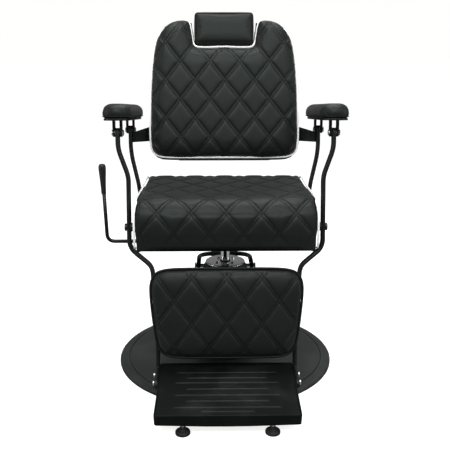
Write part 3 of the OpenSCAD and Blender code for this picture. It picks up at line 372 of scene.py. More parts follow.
def turned(profile, steps=160, axis=(0, 0)):
    """A profile of (radius, height) turned round an upright axis: x = r cos t, y = r sin t."""
    profile = np.asarray(profile, float)
    t = np.arange(steps) / steps * 2 * np.pi
    points = np.stack([profile[:, :1] * np.cos(t) + axis[0], profile[:, :1] * np.sin(t) + axis[1],
                       np.repeat(profile[:, 1:], steps, 1)], -1)
    return points.reshape(-1, 3), grid_faces(len(profile), steps, True, True).tolist()


home = {node: body for body, nodes in frame["record"]["behaviour"]["bodies"].items() for node in nodes}


def machined(node, paint, edge=0.6):
    """A rigid piece with its edges broken: the node's own surface, merged, with a small bevel on its corners."""
    source = frame["nodes"][node].data
    mesh = source.copy()
    work = bmesh.new()
    work.from_mesh(mesh)
    bmesh.ops.remove_doubles(work, verts=work.verts, dist=0.00001)
    bmesh.ops.dissolve_limit(work, angle_limit=0.02, verts=work.verts, edges=work.edges)
    work.to_mesh(mesh)
    work.free()
    mesh.shade_smooth()
    mesh.set_sharp_from_angle(angle=0.6)
    mesh.materials.clear()
    mesh.materials.append(paint)
    piece = bpy.data.objects.new(node + "_made", mesh)
    scene.collection.objects.link(piece)
    rim = piece.modifiers.new("broken_edge", "BEVEL")
    rim.width, rim.segments, rim.limit_method, rim.angle_limit = edge * 0.001, 2, "ANGLE", 0.7
    rim.harden_normals = True
    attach(piece, home[node])
    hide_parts(node)
    return piece


# ---- Floor disc and its rubber ring ----
# A pressed steel disc, 700 mm across, on a rubber ring that keeps it off the floor. The
# press leaves a step and a fine groove near the rim, and the top rises gently to the middle.
disc_paint = finish("disc_powder_coat", painted((0.0195, 0.0225, 0.0215), 0.42, 0.10, 0.05, 1100.0), 0.00008,
                    Specular_IOR_Level=0.26, Specular_Tint=cool_gleam)
ring_shape = eased([(349.5, 0), (350, 1.5), (350, 6.6), (348.4, 7.6), (340, 3.0), (338, 1.6), (339, 0)], 0.8, 4, True)
mesh_piece("base_ring_rubber", *turned(ring_shape, 240), black_rubber, "base", "rubber", "base_ring")
press = [(344, 3.2), (347.5, 5.0), (348, 8.2), (346, 9.8), (338, 11.2), (328, 12.6), (320.4, 13.6), (320.2, 10.2),
         (317.4, 10.2), (317.2, 14.0), (308, 16.6), (300, 17.8), (240, 22.2), (170, 26.6), (108, 29.6), (43, 29.8),
         (43, 25), (108, 25), (240, 18), (305, 12), (316, 7.5), (322, 6), (340, 3)]
cuts = [2, 2, 2, 2, 3, 3, 0.5, 0.8, 0.8, 0.5] + [3] * 13
mesh_piece("base_disc_pressed", *turned(eased(press, cuts, 5, True), 240), disc_paint, "base", "grey_steel",
           "base_disc")

# ---- Column cover, cap and pump ----
# A flared sheet cover stands round the oil cylinder. Its cap carries four bolts and the
# seal that the chromed piston slides in; the pedal loop pivots on pins through the cover.
flare = [(105, 30), (103.5, 35), (94, 70), (86.5, 120), (80.5, 196), (76, 260), (73.4, 300), (70.6, 315), (65.5, 326.5),
         (62.5, 329.2), (60, 329.2), (63, 318), (70, 300), (73, 260), (77.5, 196), (83.5, 120), (91, 70), (100, 35),
         (101, 30)]
mesh_piece("column_cover_skin", *turned(eased(flare, 5.0, 5, True), 144), disc_paint, "base", "grey_steel",
           "column_cover")
lid_paint = finish("lid_satin_steel", painted((0.80, 0.81, 0.81), 0.20, 0.05, 0.02, 300.0), 0.0, Metallic=1.0)
black_zinc = finish("black_zinc_plate", painted((0.030, 0.032, 0.032), 0.34, 0.14, 0.04, 500.0), 0.00004,
                    Metallic=0.7)
lid = eased([(64, 329.2), (64, 331.8), (62.6, 333), (30, 333), (17, 333), (17, 329.2)], 0.8, 4, True)
mesh_piece("column_cap_lid", *turned(lid, 144), lid_paint, "base", "grey_steel", "column_cap")
machined("oil_cylinder", black_paint)
machined("cylinder_seal", black_rubber, 0.4)
machined("cap_bolts", zinc_plate, 0.3)
machined("pedal_pin", zinc_plate, 0.5)
machined("piston_head", zinc_plate, 0.5)
machined("piston", chrome_plate, 0.8)
machined("hub_screw", zinc_plate, 0.5)
pedal_reach, pedal_x, pins_z = 162.0, 87.0, 316
pedal_tilt = math.atan(10 / 162)


def on_pedal(points):
    """Points of the pedal's own flat frame in the chair: it falls to the rear from its pins."""
    x, y, z = np.asarray(points, float).T
    c, s = math.cos(pedal_tilt), math.sin(pedal_tilt)
    return np.stack([x, y * c + z * s, pins_z - y * s + z * c], 1)


corners = [(pedal_x, 6, 0), (pedal_x, pedal_reach, 0), (-pedal_x, pedal_reach, 0), (-pedal_x, 6, 0)]
loop = on_pedal(eased(corners, [0, 56, 56, 0], 14))
eyes = []
for x in (-1, 1):
    bore = [(x * 81.4, 6.2), (x * 81.4, 10), (x * 82.2, 11), (x * 91.8, 11), (x * 92.6, 10), (x * 92.6, 6.2)]
    p, f = turned([(r, h) for h, r in bore], 48)
    eyes.append((np.stack([p[:, 2], p[:, 0], p[:, 1] + pins_z], 1), f))
pedal_up = on_pedal([(0, 0, 1)])[0] - (0, 0, pins_z)
mesh_piece("pump_pedal_loop", *joined(carried(loop, ring(7.6, 20), pedal_up), *eyes), black_paint, "pedal",
           "black_steel", "pump_pedal")
grip_wall = [(6.1, -46), (8.4, -46.5), (9.2, -45)]
grooves = [(9.2 - 0.5 * (k % 2), -44 + k * 1.467) for k in range(61)]
sleeve = np.array(grip_wall + grooves + [(9.2, 45.4), (8.4, 46.5), (6.1, 46)])
p, f = turned(sleeve, 48)
mesh_piece("pedal_sleeve_rubber", on_pedal(np.stack([p[:, 2], p[:, 0] + pedal_reach, p[:, 1]], 1)), f, black_rubber,
           "pedal", "rubber", "pedal_sleeve")

# ---- Seat frame ----
# Welded steel: a hub plate, two long and two cross rails, and a plate on each side that
# carries the pivot bolts of the levers and uprights.
for node in ("swivel_hub", "seat_rail_left", "seat_rail_right", "cross_rail_front", "cross_rail_rear",
             "side_plate_left", "side_plate_right"):
    machined(node, black_paint, 0.8)
machined("pivot_bolts", black_zinc, 0.5)
machined("lock_arm", zinc_plate, 0.4)


def veneer(tree):
    """Rows for the edge of plywood: thin plies stacked upwards, each a slightly other brown."""
    here = put(tree, "TexCoord").outputs["Object"]
    plies = put(tree, "TexWave", {"Vector": here, "Scale": 110.0, "Distortion": 1.2, "Detail": 3.0},
                bands_direction="Z")
    fibres = put(tree, "TexNoise", {"Vector": put(tree, "Mapping", {"Vector": here,
                 "Scale": (30, 700, 700)}).outputs[0], "Detail": 4.0})
    mix = math_node(tree, "MULTIPLY_ADD", plies.outputs["Fac"], 0.6, math_node(tree, "MULTIPLY",
                    fibres.outputs["Fac"], 0.5))
    ramp = put(tree, "Mix", {"Factor": mix, 6: (0.16, 0.09, 0.045, 1), 7: (0.42, 0.29, 0.17, 1)},
               data_type="RGBA")
    return {"Base Color": ramp.outputs[2], "Roughness": smooth_range(tree, mix, 0, 1, 0.75, 0.6), "Height": mix}


plywood = finish("plywood", veneer, 0.0002, Specular_IOR_Level=0.3)
machined("seat_board", plywood, 1.0)

# ---- Seat cushion ----
# One panel of black leather over moulded foam: it runs flat over the top, rolls over the
# front and down to the board, with sewn diamonds all over and plain panels at the sides.


def sewn_hide(colour, roughness):
    """Rows for quilted leather: grain, with the sewn diamonds read from the piece's own attribute of place; on the
    front the colour is darkened along the sewn rows as painted shade.
    """
    def rows(tree):
        skin = use(tree, grain, Colour=(*colour, 1), Roughness=roughness, Cell=900.0)
        place = put(tree, "Attribute", attribute_name="panel")
        seams = use(tree, sewn)
        tree.links.new(place.outputs["Vector"], seams["Height"].node.inputs["Place"])
        # Painted shade: on the front, the colour falls to 0.55 along the rows of thread, standing in for the shade in
        # the sewn grooves.
        stitch_painted_shade = math_node(tree, "MULTIPLY_ADD", seams["Valley"], 0.45, 0.55)
        faced = put(tree, "SeparateXYZ", {0: place.outputs["Vector"]}).outputs["Z"]
        faced_painted_shade = math_node(tree, "ADD", math_node(tree, "MULTIPLY", math_node(tree, "SUBTRACT", stitch_painted_shade, 1.0), faced), 1.0)
        height = math_node(tree, "MULTIPLY_ADD", math_node(tree, "MULTIPLY", seams["Height"], faced), 5.0,
                           math_node(tree, "MULTIPLY", skin["Height"], 0.55))
        return {"Base Color": tint(tree, skin["Colour"], faced_painted_shade), "Roughness": skin["Roughness"], "Height": height}
    return rows


hide_black = (0.0080, 0.0094, 0.0091)
hide_gleam = {"Specular_IOR_Level": 0.19, "Specular_Tint": cool_gleam, "Sheen_Weight": 0.03}
quilted_leather = finish("quilted_leather", sewn_hide(hide_black, 0.42), 0.00020, **hide_gleam)
plain_leather = finish("plain_leather", all_over(grain, hide_black, Roughness=0.42, Cell=900.0), 0.00016, **hide_gleam)


def surface_of(piece):
    """The piece's points in millimetres and their normals, with its modifiers applied."""
    seen_now = piece.evaluated_get(bpy.context.evaluated_depsgraph_get())
    mesh = bpy.data.meshes.new_from_object(seen_now)
    piece.modifiers.clear()
    piece.data = mesh
    n = len(mesh.vertices)
    points, normals = np.empty(n * 3), np.empty(n * 3)
    mesh.vertices.foreach_get("co", points)
    mesh.vertex_normals.foreach_get("vector", normals)
    return points.reshape(-1, 3) * 1000, normals.reshape(-1, 3)


def reshape(piece, points):
    """Moves the points of the piece's mesh, in millimetres."""
    piece.data.vertices.foreach_set("co", (points * 0.001).ravel())
    piece.data.update()


def stuffed(name, points, faces, paint, body, voxel, swell, cap, hold, shape=None):
    """A padded piece: a closed form is remeshed evenly, blown up a little as cloth, and subdivided once. shape
    gives the form's crown before the cloth. Only the cloth's movement square to the surface is kept, from 0.6
    inwards to cap outwards (mm), and hold scales it."""
    piece = mesh_piece(name, points, faces, paint, body, "black_leather")
    even = piece.modifiers.new("even_net", "REMESH")
    even.mode, even.voxel_size, even.use_smooth_shade = "VOXEL", voxel * 0.001, True
    start, outward = surface_of(piece)
    if shape is not None:
        start = shape(start)
        reshape(piece, start)
    blown = piece.modifiers.new("foam_pressure", "CLOTH")
    blown.settings.quality = 5
    blown.settings.mass = 0.3
    blown.settings.tension_stiffness = blown.settings.compression_stiffness = 14
    blown.settings.bending_stiffness = 0.6
    blown.settings.use_pressure = True
    blown.settings.uniform_pressure_force = swell
    blown.settings.effector_weights.gravity = 0.0
    blown.point_cache.frame_start, blown.point_cache.frame_end = 1, 20
    for tick in range(1, 21):
        scene.frame_set(tick)
    moved, outward = surface_of(piece)
    scene.frame_set(1)
    push = np.clip(((moved - start) * outward).sum(1), -0.6, cap) * hold(start)
    reshape(piece, start + outward * push[:, None])
    finer = piece.modifiers.new("finer_net", "SUBSURF")
    finer.levels = finer.render_levels = 1
    surface_of(piece)
    return piece


diamond_wide, diamond_high = 100, 126


def laid(piece, panel, depth):
    """Presses the sewn valleys into a stuffed piece and stores where each point lies on its flat panel.
    Height falls by depth (1 - p(a) p(b)), with p(d) = 1 - exp(-max(0, d - 3) / 5) and d the distance to a line."""
    piece.modifiers.clear()
    points, outward = surface_of(piece)
    u, v, faced = panel(points, outward)
    steep = math.hypot(1 / diamond_wide, 1 / diamond_high)
    pad = 1.0
    for line in (u / diamond_wide + v / diamond_high, u / diamond_wide - v / diamond_high):
        off = np.abs(line - np.round(line)) / steep
        pad = pad * (1 - np.exp(-np.maximum(0, off - 3) / 5))
    reshape(piece, points - outward * (depth * (1 - pad) * faced)[:, None])
    place = piece.data.attributes.new("panel", "FLOAT_VECTOR", "POINT")
    place.data.foreach_set("vector", np.stack([u * 0.001, v * 0.001, faced], 1).ravel())
    piece.data.shade_smooth()


seat_rear_y, seat_top, seat_low, seat_half = 190.0, 583.0, 441.0, 251.0
rear_roll, toe_roll, front_start, first_crossing = 16.7, 12.0, -189.3, 60.4
arc = np.linspace(0, np.pi / 2, 8)
fall_off = np.linspace(0, 150, 46)
slope_at = np.radians(np.interp(fall_off, [0, 20, 40, 60, 85, 115, 150], [0, 28, 51, 67, 79, 89, 98]))
mean_slope, parts = slope_at[1:] / 2 + slope_at[:-1] / 2, np.diff(fall_off)
front_line = np.stack([front_start - running(np.cos(mean_slope) * parts),
                       seat_top - running(np.sin(mean_slope) * parts)], 1)
end = front_line[-1]
side_line = np.concatenate([
    np.stack([seat_rear_y - rear_roll * (1 - np.cos(arc)), seat_top - rear_roll * (1 - np.sin(arc))], 1),
    np.stack([np.linspace(seat_rear_y - rear_roll, front_start, 30)[1:-1], np.full(28, seat_top)], 1), front_line,
    np.stack([end[0] + toe_roll * (1 - np.cos(arc)), end[1] - (end[1] - seat_low) * np.sin(arc)], 1)[1:],
    np.array([[end[0] + 2 * toe_roll, seat_low], [0, seat_low], [seat_rear_y, seat_low]])])
middle = np.array([-30.0, 514.0])
wide = np.linspace(-1, 1, 61)


def crown(u):
    """1 in the middle, falling to 0 at -1 and 1 as (1 - u^6)^0.5."""
    return np.sqrt(np.clip(1 - u ** 6, 0, 1))


def flared(y, z):
    """Half width of the seat: 5 mm more along the top edge and 8 mm more at the front, clear of the side plates."""
    return seat_half + np.maximum(5 * np.clip((z - 570) / 8, 0, 1), 8 * np.clip((-195 - y) / 35, 0, 1))


def seat_form():
    """The side outline carried across the seat, drawn in at the sides by 6 (1 - crown(x)); the front's lower
    corners droop by 11 mm over the last 55 mm of its width."""
    line = np.broadcast_to(side_line, (len(wide), *side_line.shape)).copy()
    held = (side_line[:, 1] > seat_low + 2)[None, :, None]
    line += unit(side_line - middle) * (crown(wide) - 1)[:, None, None] * 6 * held
    x = wide[:, None] * flared(line[:, :, 0], line[:, :, 1])
    droop = np.clip((np.abs(x) - 203) / 55, 0, 1) * np.clip((-190 - line[:, :, 0]) / 40, 0, 1)
    line[:, :, 1] -= 11 * droop * np.clip((500 - line[:, :, 1]) / 50, 0, 1)
    points = np.concatenate([x[:, :, None], line], 2).reshape(-1, 3)
    n, last = len(side_line), (len(wide) - 1) * len(side_line)
    hubs = [(-seat_half, *middle), (seat_half, *middle)]
    fans = [[len(points), k, (k + 1) % n] for k in range(n)]
    fans += [[len(points) + 1, last + k, last + (k + 1) % n] for k in range(n)]
    return np.concatenate([points, hubs]), grid_faces(len(wide), n, False, True).tolist() + fans


def nearest(points, path):
    """The distance of each point from a path in the plane, and the length along the path to the nearest place."""
    best, length = np.full(len(points), 1e9), np.zeros(len(points))
    steps = np.diff(path, axis=0)
    sizes = np.linalg.norm(steps, axis=1)
    for start, step, size, before in zip(path, steps, sizes, running(sizes)):
        along = np.clip(((points - start) @ step) / max(step @ step, 1e-9), 0, 1)
        off = np.linalg.norm(points - start - along[:, None] * step, axis=1)
        length = np.where(off < best, before + along * size, length)
        best = np.minimum(best, off)
    return best, length


def seat_panel(points, outward):
    """Place on the seat's panel: across, and along the side outline from a crossing of the stitching, with faced 1
    on the top and the front and 0 near the sides and the board."""
    length = nearest(points[:, 1:], side_line[len(arc) - 1:])[1]
    y, z = points[:, 1], points[:, 2]
    faced = np.clip(1 - np.abs(outward[:, 0]) * 1.6, 0, 1) * np.clip((z - seat_low - 6) / 40, 0, 1)
    faced *= np.clip((flared(y, z) + 0.5 - np.abs(points[:, 0])) / 12, 0, 1) * np.where((y > 176) & (z < 560), 0, 1)
    return points[:, 0], length - (seat_rear_y - rear_roll - front_start + first_crossing), faced


def seat_hold(p):
    """Keeps the sides and the underside of the seat still while the top and the front swell."""
    return (np.clip((p[:, 2] - seat_low) / 40, 0, 1)
            * np.clip((flared(p[:, 1], p[:, 2]) + 0.2 - np.abs(p[:, 0])) / 20, 0.12, 1))


seat = stuffed("seat_leather", *seat_form(), quilted_leather, "seat", 6.0, 2.0, 0.9, seat_hold)
laid(seat, seat_panel, 3.4)
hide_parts("seat_cushion")
white_vinyl = finish("white_piping_vinyl", painted((0.88, 0.88, 0.87), 0.36, 0.10, 0.02, 600.0), 0.00008)
welt = np.concatenate([[(187, 456)], side_line[:len(side_line) - 3]])
tuck = 6.0 + 5.0 * np.clip((welt[:, 0] - 90) / 40, 0, 1)
welt = welt - unit(welt - middle) * tuck[:, None]
welts = [carried(np.column_stack([s * (flared(*welt.T) + 4.6), welt]), ring(3.0, 14), (1, 0, 0)) for s in (-1, 1)]
mesh_piece("seat_welt", *joined(*welts), white_vinyl, "seat", "white_piping", "seat_piping")

# ---- Release lever ----
# A bent round rod on a shaft through the side plate at the photo's left, with a tapered
# plastic grip. Pulling it frees the backrest and the legrest.
shaft_y, shaft_z, rod_x = -54.56, 415.0, -373.0
lever_rod = eased([(-236, shaft_y, shaft_z), (rod_x + 3, shaft_y, shaft_z), (rod_x - 3, shaft_y, 618)], 24, 10)
mesh_piece("release_rod_bent", *carried(lever_rod, ring(5.8, 20), (0, 1, 0)), black_paint, "release", "black_steel",
           "release_rod")
grip_plastic = finish("grip_plastic", painted((0.010, 0.0105, 0.0105), 0.42, 0.14, 0.05, 1500.0), 0.0001,
                      Specular_IOR_Level=0.4)
grip_line = eased([(0.2, 566), (6.0, 566), (7.4, 567.5), (8.0, 590), (9.6, 618), (11.4, 643), (11.2, 653), (8.8, 659),
                   (4, 660.5), (0.2, 660.5)], [0, 0.8, 1, 6, 8, 5, 3, 2, 1, 0], 5)
p, f = turned(grip_line, 48, (rod_x, shaft_y))
p[:, 0] -= (p[:, 2] - 440) / 60
mesh_piece("release_grip_moulded", p, f, grip_plastic, "release", "grip_plastic", "release_grip")

# ---- Legrest levers and backrest uprights ----
# Flat oval tube, 12 x 28 mm, bent cold: the levers hang from the front armrest pins, pass
# the seat pivots, turn in under the seat and run down to the sides of the footrest.
lean = math.radians(10)
front_pin, rear_pin = np.array([-156.0, 767.0]), np.array([139.87, 741.11])
lever_pivot, back_pivot = np.array([-203.06, 500.12]), np.array([92.81, 474.23])
pin_x, pivot_x, calf_x, foot_x = 310, 281, 215, 202
boss_end_x, tube_thin, tube_deep = 264.8, 12, 28


def down_tube(pin, points):
    """Points given as (across, forward, down the leaning tube) from a pin, placed in the chair."""
    points = np.asarray(points, float)
    c, s = math.cos(math.pi - lean), math.sin(math.pi - lean)
    y, z = points[:, 1] * c - points[:, 2] * s, points[:, 1] * s + points[:, 2] * c
    return np.stack([points[:, 0], pin[0] + y, pin[1] + z], 1)


def oval(thin, deep):
    """A flat oval section: two half rounds joined by flat sides."""
    t = np.linspace(-np.pi / 2, np.pi / 2, 9)
    half = np.stack([thin / 2 * np.sin(t), (deep - thin) / 2 + thin / 2 * np.cos(t)], 1)
    return np.concatenate([half, -half])


def bent_tube(pin, corners, radii):
    """A flat oval tube through rounded corners whose ends are half discs."""
    path = down_tube(pin, eased(corners, radii, 10))
    half = tube_deep / 2
    round_off = np.sin(np.linspace(0.06, np.pi / 2, 9)) * half
    beyond = np.sqrt(half ** 2 - round_off ** 2)
    first, end = path[0] - path[1], path[-1] - path[-2]
    first, end = first / np.linalg.norm(first), end / np.linalg.norm(end)
    narrowed = np.stack([np.ones(9), round_off / half], 1)
    scale = np.concatenate([narrowed, np.ones((len(path) - 2, 2)), narrowed[::-1]])
    path = np.concatenate([path[:1] + first * beyond[:, None], path[1:-1], path[-1:] + end * beyond[::-1, None]])
    return carried(path, oval(tube_thin, tube_deep), (1, 0, 0), scale=scale)


def pivot_boss(side, pin):
    """A drum inside the tube at its pivot, its axis across the chair and its edges a little rounded."""
    low, high = sorted((side * boss_end_x, side * pivot_x))
    line = eased([(0.1, low), (12.6, low), (12.6, high), (0.1, high)], [0, 1.0, 1.0, 0], 5)
    p, f = turned(line, 48)
    return np.stack([p[:, 2], p[:, 0] + pin[0], p[:, 1] + pin[1]], 1), f


lever_bend, calf_bend = math.tan(math.radians(20)), math.tan(math.radians(50))
fall = math.radians(9)
rear_mid = np.array([-265.0, 100 - 14 / math.cos(fall)])
tube_dir, tray_dir = np.array([-math.sin(lean), -math.cos(lean)]), np.array([-math.cos(fall), -math.sin(fall)])
to_tray = rear_mid - front_pin
# Where the lever's line meets the middle of the tray's side, measured down the lever
meet = (to_tray[0] * tray_dir[1] - to_tray[1] * tray_dir[0]) / (tube_dir[0] * tray_dir[1] - tube_dir[1] * tray_dir[0])
foot_turn = math.pi / 2 - lean - fall
for side, word in ((-1, "left"), (1, "right")):
    corners = [(pin_x, 0, 0), (pin_x, 0, 45), (pivot_x, 0, 45 + (pin_x - pivot_x) / lever_bend), (pivot_x, 0, 331),
               (calf_x, 0, 331 + (pivot_x - calf_x) / calf_bend), (foot_x, 0, meet - 76), (foot_x, 0, meet - 2),
               (foot_x, 70 * math.sin(foot_turn), meet + 70 * math.cos(foot_turn))]
    tube = bent_tube(front_pin, np.array(corners) * (side, 1, 1), [0, 20, 18, 24, 20, 30, 14, 0])
    mesh_piece("lever_tube_" + word, *joined(tube, pivot_boss(side, lever_pivot)), black_paint, "legrest",
               "black_steel", "lever_" + word)
    corners = [(pin_x, 0, 0), (pin_x, 0, 72), (pivot_x, 0, 72 + (pin_x - pivot_x) / math.tan(math.radians(13))),
               (pivot_x, 0, 271)]
    tube = bent_tube(rear_pin, np.array(corners) * (side, 1, 1), [0, 34, 34, 0])
    mesh_piece("upright_tube_" + word, *joined(tube, pivot_boss(side, back_pivot)), black_paint, "backrest",
               "black_steel", "upright_" + word)
for node in ("calf_bar_upper", "calf_bar_lower"):
    machined(node, black_paint, 0.8)
machined("footrest_bolts", zinc_plate, 0.5)

# ---- Calf pad ----
# A plywood board in black leather, crowned over foam and sewn in diamonds, with a black
# piping in the seam round its edge. It is screwed to the two bars between the levers.


class Flat:
    """A flat frame in the chair: origin and unit axes across, up the face and out of it, in millimetres."""

    def __init__(self, origin, up, out):
        self.origin, self.axes = np.array(origin, float), np.array([(1, 0, 0), up, out], float)

    def chair(self, points):
        """Points of the flat frame in the chair: origin + x across + y up + z out."""
        return self.origin + np.asarray(points, float) @ self.axes

    def own(self, points):
        """Points of the chair in the flat frame."""
        return (np.asarray(points, float) - self.origin) @ self.axes.T


def through(controls, steps=7):
    """A closed smooth loop through control points: Catmull-Rom cubics between neighbours."""
    p = np.asarray(controls, float)
    a, b, c, d = (np.roll(p, shift, 0)[:, None] for shift in (1, 0, -1, -2))
    s = (np.arange(steps) / steps)[None, :, None]
    loop = 0.5 * (2 * b + (c - a) * s + (2 * a - 5 * b + 4 * c - d) * s ** 2 + (3 * b - a - 3 * c + d) * s ** 3)
    return loop.reshape(-1, p.shape[1])


def mirrored(half):
    """A closed loop from its right half, which runs from the bottom middle round to the top middle."""
    half = np.asarray(half, float)
    return np.concatenate([half, half[-2:0:-1] * (-1, 1)])


def moved_in(loop, inset):
    """A loop drawn inwards, or outwards where inset is negative, square to its own direction."""
    ahead = unit(np.roll(loop, -1, 0) - np.roll(loop, 1, 0))
    return loop + np.stack([-ahead[:, 1], ahead[:, 0]], 1) * np.reshape(inset, (-1, 1))


def reach_in(points, loop):
    """Distance of each point from the loop, in the plane."""
    return nearest(points, np.concatenate([loop, loop[:1]]))[0]


def stacked(*levels):
    """A closed form from loops of one length, given with their heights out of the plane from low to high."""
    n = len(levels[0][0])
    points = np.concatenate([np.column_stack([loop, np.full(n, height)]) for loop, height in levels])
    walls = grid_faces(len(levels), n, False, True).tolist()
    return points, walls + [list(range(n)), list(range(len(points) - n, len(points)))]


def crowned(flat, loop, low, edge, height, width):
    """A shape for a slab's front: it rises by height (1 - (1 - d/width)^2)^0.5 at a distance d from the loop."""
    def shape(points):
        p = flat.own(points)
        rise = np.clip(reach_in(p[:, :2], loop) / width, 0, 1)
        p[:, 2] += np.clip((p[:, 2] - low) / (edge - low), 0, 1) ** 3 * height * np.sqrt(1 - (1 - rise) ** 2)
        return flat.chair(p)
    return shape


def held_above(flat, low, over):
    """A hold that keeps a slab's rear still: 0 at the height low out of the flat frame, 1 from low + over on."""
    return lambda p: np.clip((flat.own(p)[:, 2] - low) / over, 0, 1)


def welt_along(flat, loop, height, radius, steps):
    """A round welt along a loop, at a height out of the flat frame."""
    line = flat.chair(np.column_stack([loop, np.broadcast_to(height, len(loop))]))
    return carried(line, ring(radius, steps), flat.axes[2], closed=True)


def front_panel(flat, loop, aside, foot, stretch=1.0):
    """Place on the panel from a crossing of the stitching (aside, foot), with faced 1 on the front and 0 near the
    seam and on the sides. The diamonds are stretched upwards by stretch."""
    def panel(points, outward):
        p, n = flat.own(points), outward @ flat.axes.T
        faced = np.clip((n[:, 2] - 0.25) / 0.3, 0, 1) * np.clip((reach_in(p[:, :2], loop) - 2) / 9, 0, 1)
        return p[:, 0] - aside, (p[:, 1] - foot) / stretch, faced
    return panel


calf_flat = Flat(down_tube(front_pin, [(0, 14, 648)])[0], (0, math.sin(lean), math.cos(lean)),
                 (0, -math.cos(lean), math.sin(lean)))
calf_half = [(0, 0), (90, 0.3), (142, 2), (168, 7), (186, 17), (197.5, 34), (204, 58), (210, 98), (216, 150),
             (219, 188), (218.5, 213), (213.5, 232), (203, 246.5), (187, 255), (164, 259.5), (120, 261.5), (0, 262)]
calf_loop = through(mirrored(calf_half))
inner = moved_in(calf_loop, 3.0)
points, faces = stacked((inner, 12.5), (inner, 27.0))
calf = stuffed("calf_leather", calf_flat.chair(points), faces, quilted_leather, "legrest", 5.0, 2.5, 2.2,
               held_above(calf_flat, 13, 12), crowned(calf_flat, inner, 12.5, 27.0, 20.0, 70.0))
laid(calf, front_panel(calf_flat, inner, 0.5, 238.5, 1.085), 3.2)
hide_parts("calf_cushion")
black_vinyl = finish("black_piping_vinyl", painted((0.006, 0.007, 0.0068), 0.48, 0.08, 0.01, 500.0), 0.00008,
                     Specular_IOR_Level=0.14)
mesh_piece("calf_welt", *welt_along(calf_flat, moved_in(calf_loop, 1.0), 26.0, 3.6, 14), black_vinyl, "legrest",
           "black_piping", "calf_piping")
machined("calf_board", plain_leather, 2.0)

# ---- Footrest ----
# A moulded tray in black with a deep rim and eight raised ribs across its top, bolted
# between the ends of the levers. Two levelling feet hang under its front corners.
foot_flat = Flat((0, -265, 100), (0, -math.cos(fall), -math.sin(fall)), (0, -math.sin(fall), math.cos(fall)))


def scuffed_and_highlit(tree):
    """Rows for the tray: fine moulded texture, worn smoother along the ribs, where the colour is also painted paler as
    a painted highlight.
    """
    out = use(tree, wear, Colour=(0.0032, 0.0042, 0.0040, 1), Roughness=0.44, Smudge=0.06, Dust=0.02, Peel=1500.0)
    ribbed = put(tree, "Attribute", attribute_name="rib").outputs["Fac"]
    # Painted highlight: the ribs' colour is made up to 2.6 times paler, standing in for the light that the raised ribs
    # catch.
    rib_painted_highlight = math_node(tree, "MULTIPLY_ADD", ribbed, 1.6, 1.0)
    return {"Base Color": tint(tree, out["Colour"], rib_painted_highlight), "Roughness": math_node(tree, "SUBTRACT", out["Roughness"],
            math_node(tree, "MULTIPLY", ribbed, 0.10)), "Height": out["Height"]}


tray_plastic = finish("tray_plastic", scuffed_and_highlit, 0.00008, Specular_IOR_Level=0.09, Specular_Tint=cool_gleam)
tray_loop = eased([(-195, 0), (195, 0), (198, 238), (60, 238), (0, 238), (-60, 238), (-198, 238)],
                  [9, 9, 9, 1, 1, 1, 9], 8, True)
wall = eased([(0.4, 28), (4.4, 28), (4.4, 3.6), (4.4, 0), (0.4, 0), (-0.2, 4)], [1.2, 1.2, 0, 2.4, 3.2, 0], 6, True)


def tray_rim():
    """The rim's section, as (in from the outline, down from the top), carried round the tray. Its front hangs
    deeper by 0.14 + 0.18 (1 - (x / 198)^2)."""
    bow = 1 + (0.14 + 0.18 * (1 - (tray_loop[:, 0] / 198) ** 2)) * np.clip((tray_loop[:, 1] - 215) / 15, 0, 1)
    rows = [np.column_stack([moved_in(tray_loop, a), -b * bow]) for a, b in wall]
    points = np.stack(rows, 1).reshape(-1, 3)
    return points, grid_faces(len(tray_loop), len(wall), True, True).tolist()


rib_rows = [(48, 147), (73, 115), (95, 147), (123, 115), (150, 147), (175.5, 115), (202, 147), (219, 73)]


def tray_top():
    """The top plate: a grid whose height is the ribs' sum, each 1.9 exp(-(dy / 2.1)^4) with its ends faded. It
    returns how far each point of the upper side is on a rib too."""
    m, n = 150, 232
    x, y = np.meshgrid(np.linspace(-191.5, 191.5, m), np.linspace(3.5, 234.5, n), indexing="ij")
    rib = sum(np.exp(-((y - row) / 2.1) ** 4) * np.clip((half - np.abs(x)) / 5, 0, 1) for row, half in rib_rows)
    top = np.stack([x, y, 1.9 * rib - 1.0], -1).reshape(-1, 3)
    under = np.stack([x, y, np.full(x.shape, -5.0)], -1).reshape(-1, 3)
    net = grid_faces(m, n)
    edge = np.concatenate([np.arange(n), np.arange(1, m) * n + n - 1, (m - 1) * n + np.arange(n - 2, -1, -1),
                           np.arange(m - 2, 0, -1) * n])
    below, after = len(top), np.roll(edge, -1)
    walls = np.stack([edge, after, after + below, edge + below], 1)
    return np.concatenate([top, under]), net.tolist() + (net[:, ::-1] + below).tolist() + walls.tolist(), rib.ravel()


rim_points, rim_faces = tray_rim()
top_points, top_faces, rib_mask = tray_top()
points, faces = joined((rim_points, rim_faces), (top_points, top_faces))
tray = mesh_piece("footrest_tray", foot_flat.chair(points), faces, tray_plastic, "legrest", "tray_plastic", "footrest",
                  weld=False)
mask = tray.data.attributes.new("rib", "FLOAT", "POINT")
mask.data.foreach_set("value", np.concatenate([np.zeros(len(rim_points)), rib_mask, np.zeros(len(top_points) // 2)]))
tray.data.set_sharp_from_angle(angle=0.9)
stem_line = eased([(0.1, 8), (5, 8), (5, 60), (0.1, 60)], [0, 0.5, 0.5, 0], 3)
pad_line = eased([(0.1, 0.6), (19, 0.6), (20.5, 2), (20.5, 8), (18.5, 11), (9, 13.5), (8, 21), (0.1, 21)],
                 [0, 1, 1, 2.5, 2.5, 2, 1, 0], 5)
feet = [(x, foot_flat.chair([(0, 226, -28)])[0][1]) for x in (-120.9, 120.9)]
mesh_piece("foot_stems_plated", *joined(*(turned(stem_line, 32, at) for at in feet)), chrome_plate, "legrest", "zinc",
           "foot_stems")
mesh_piece("foot_pads_moulded", *joined(*(turned(pad_line, 64, at) for at in feet)), black_rubber, "legrest", "rubber",
           "foot_pads")

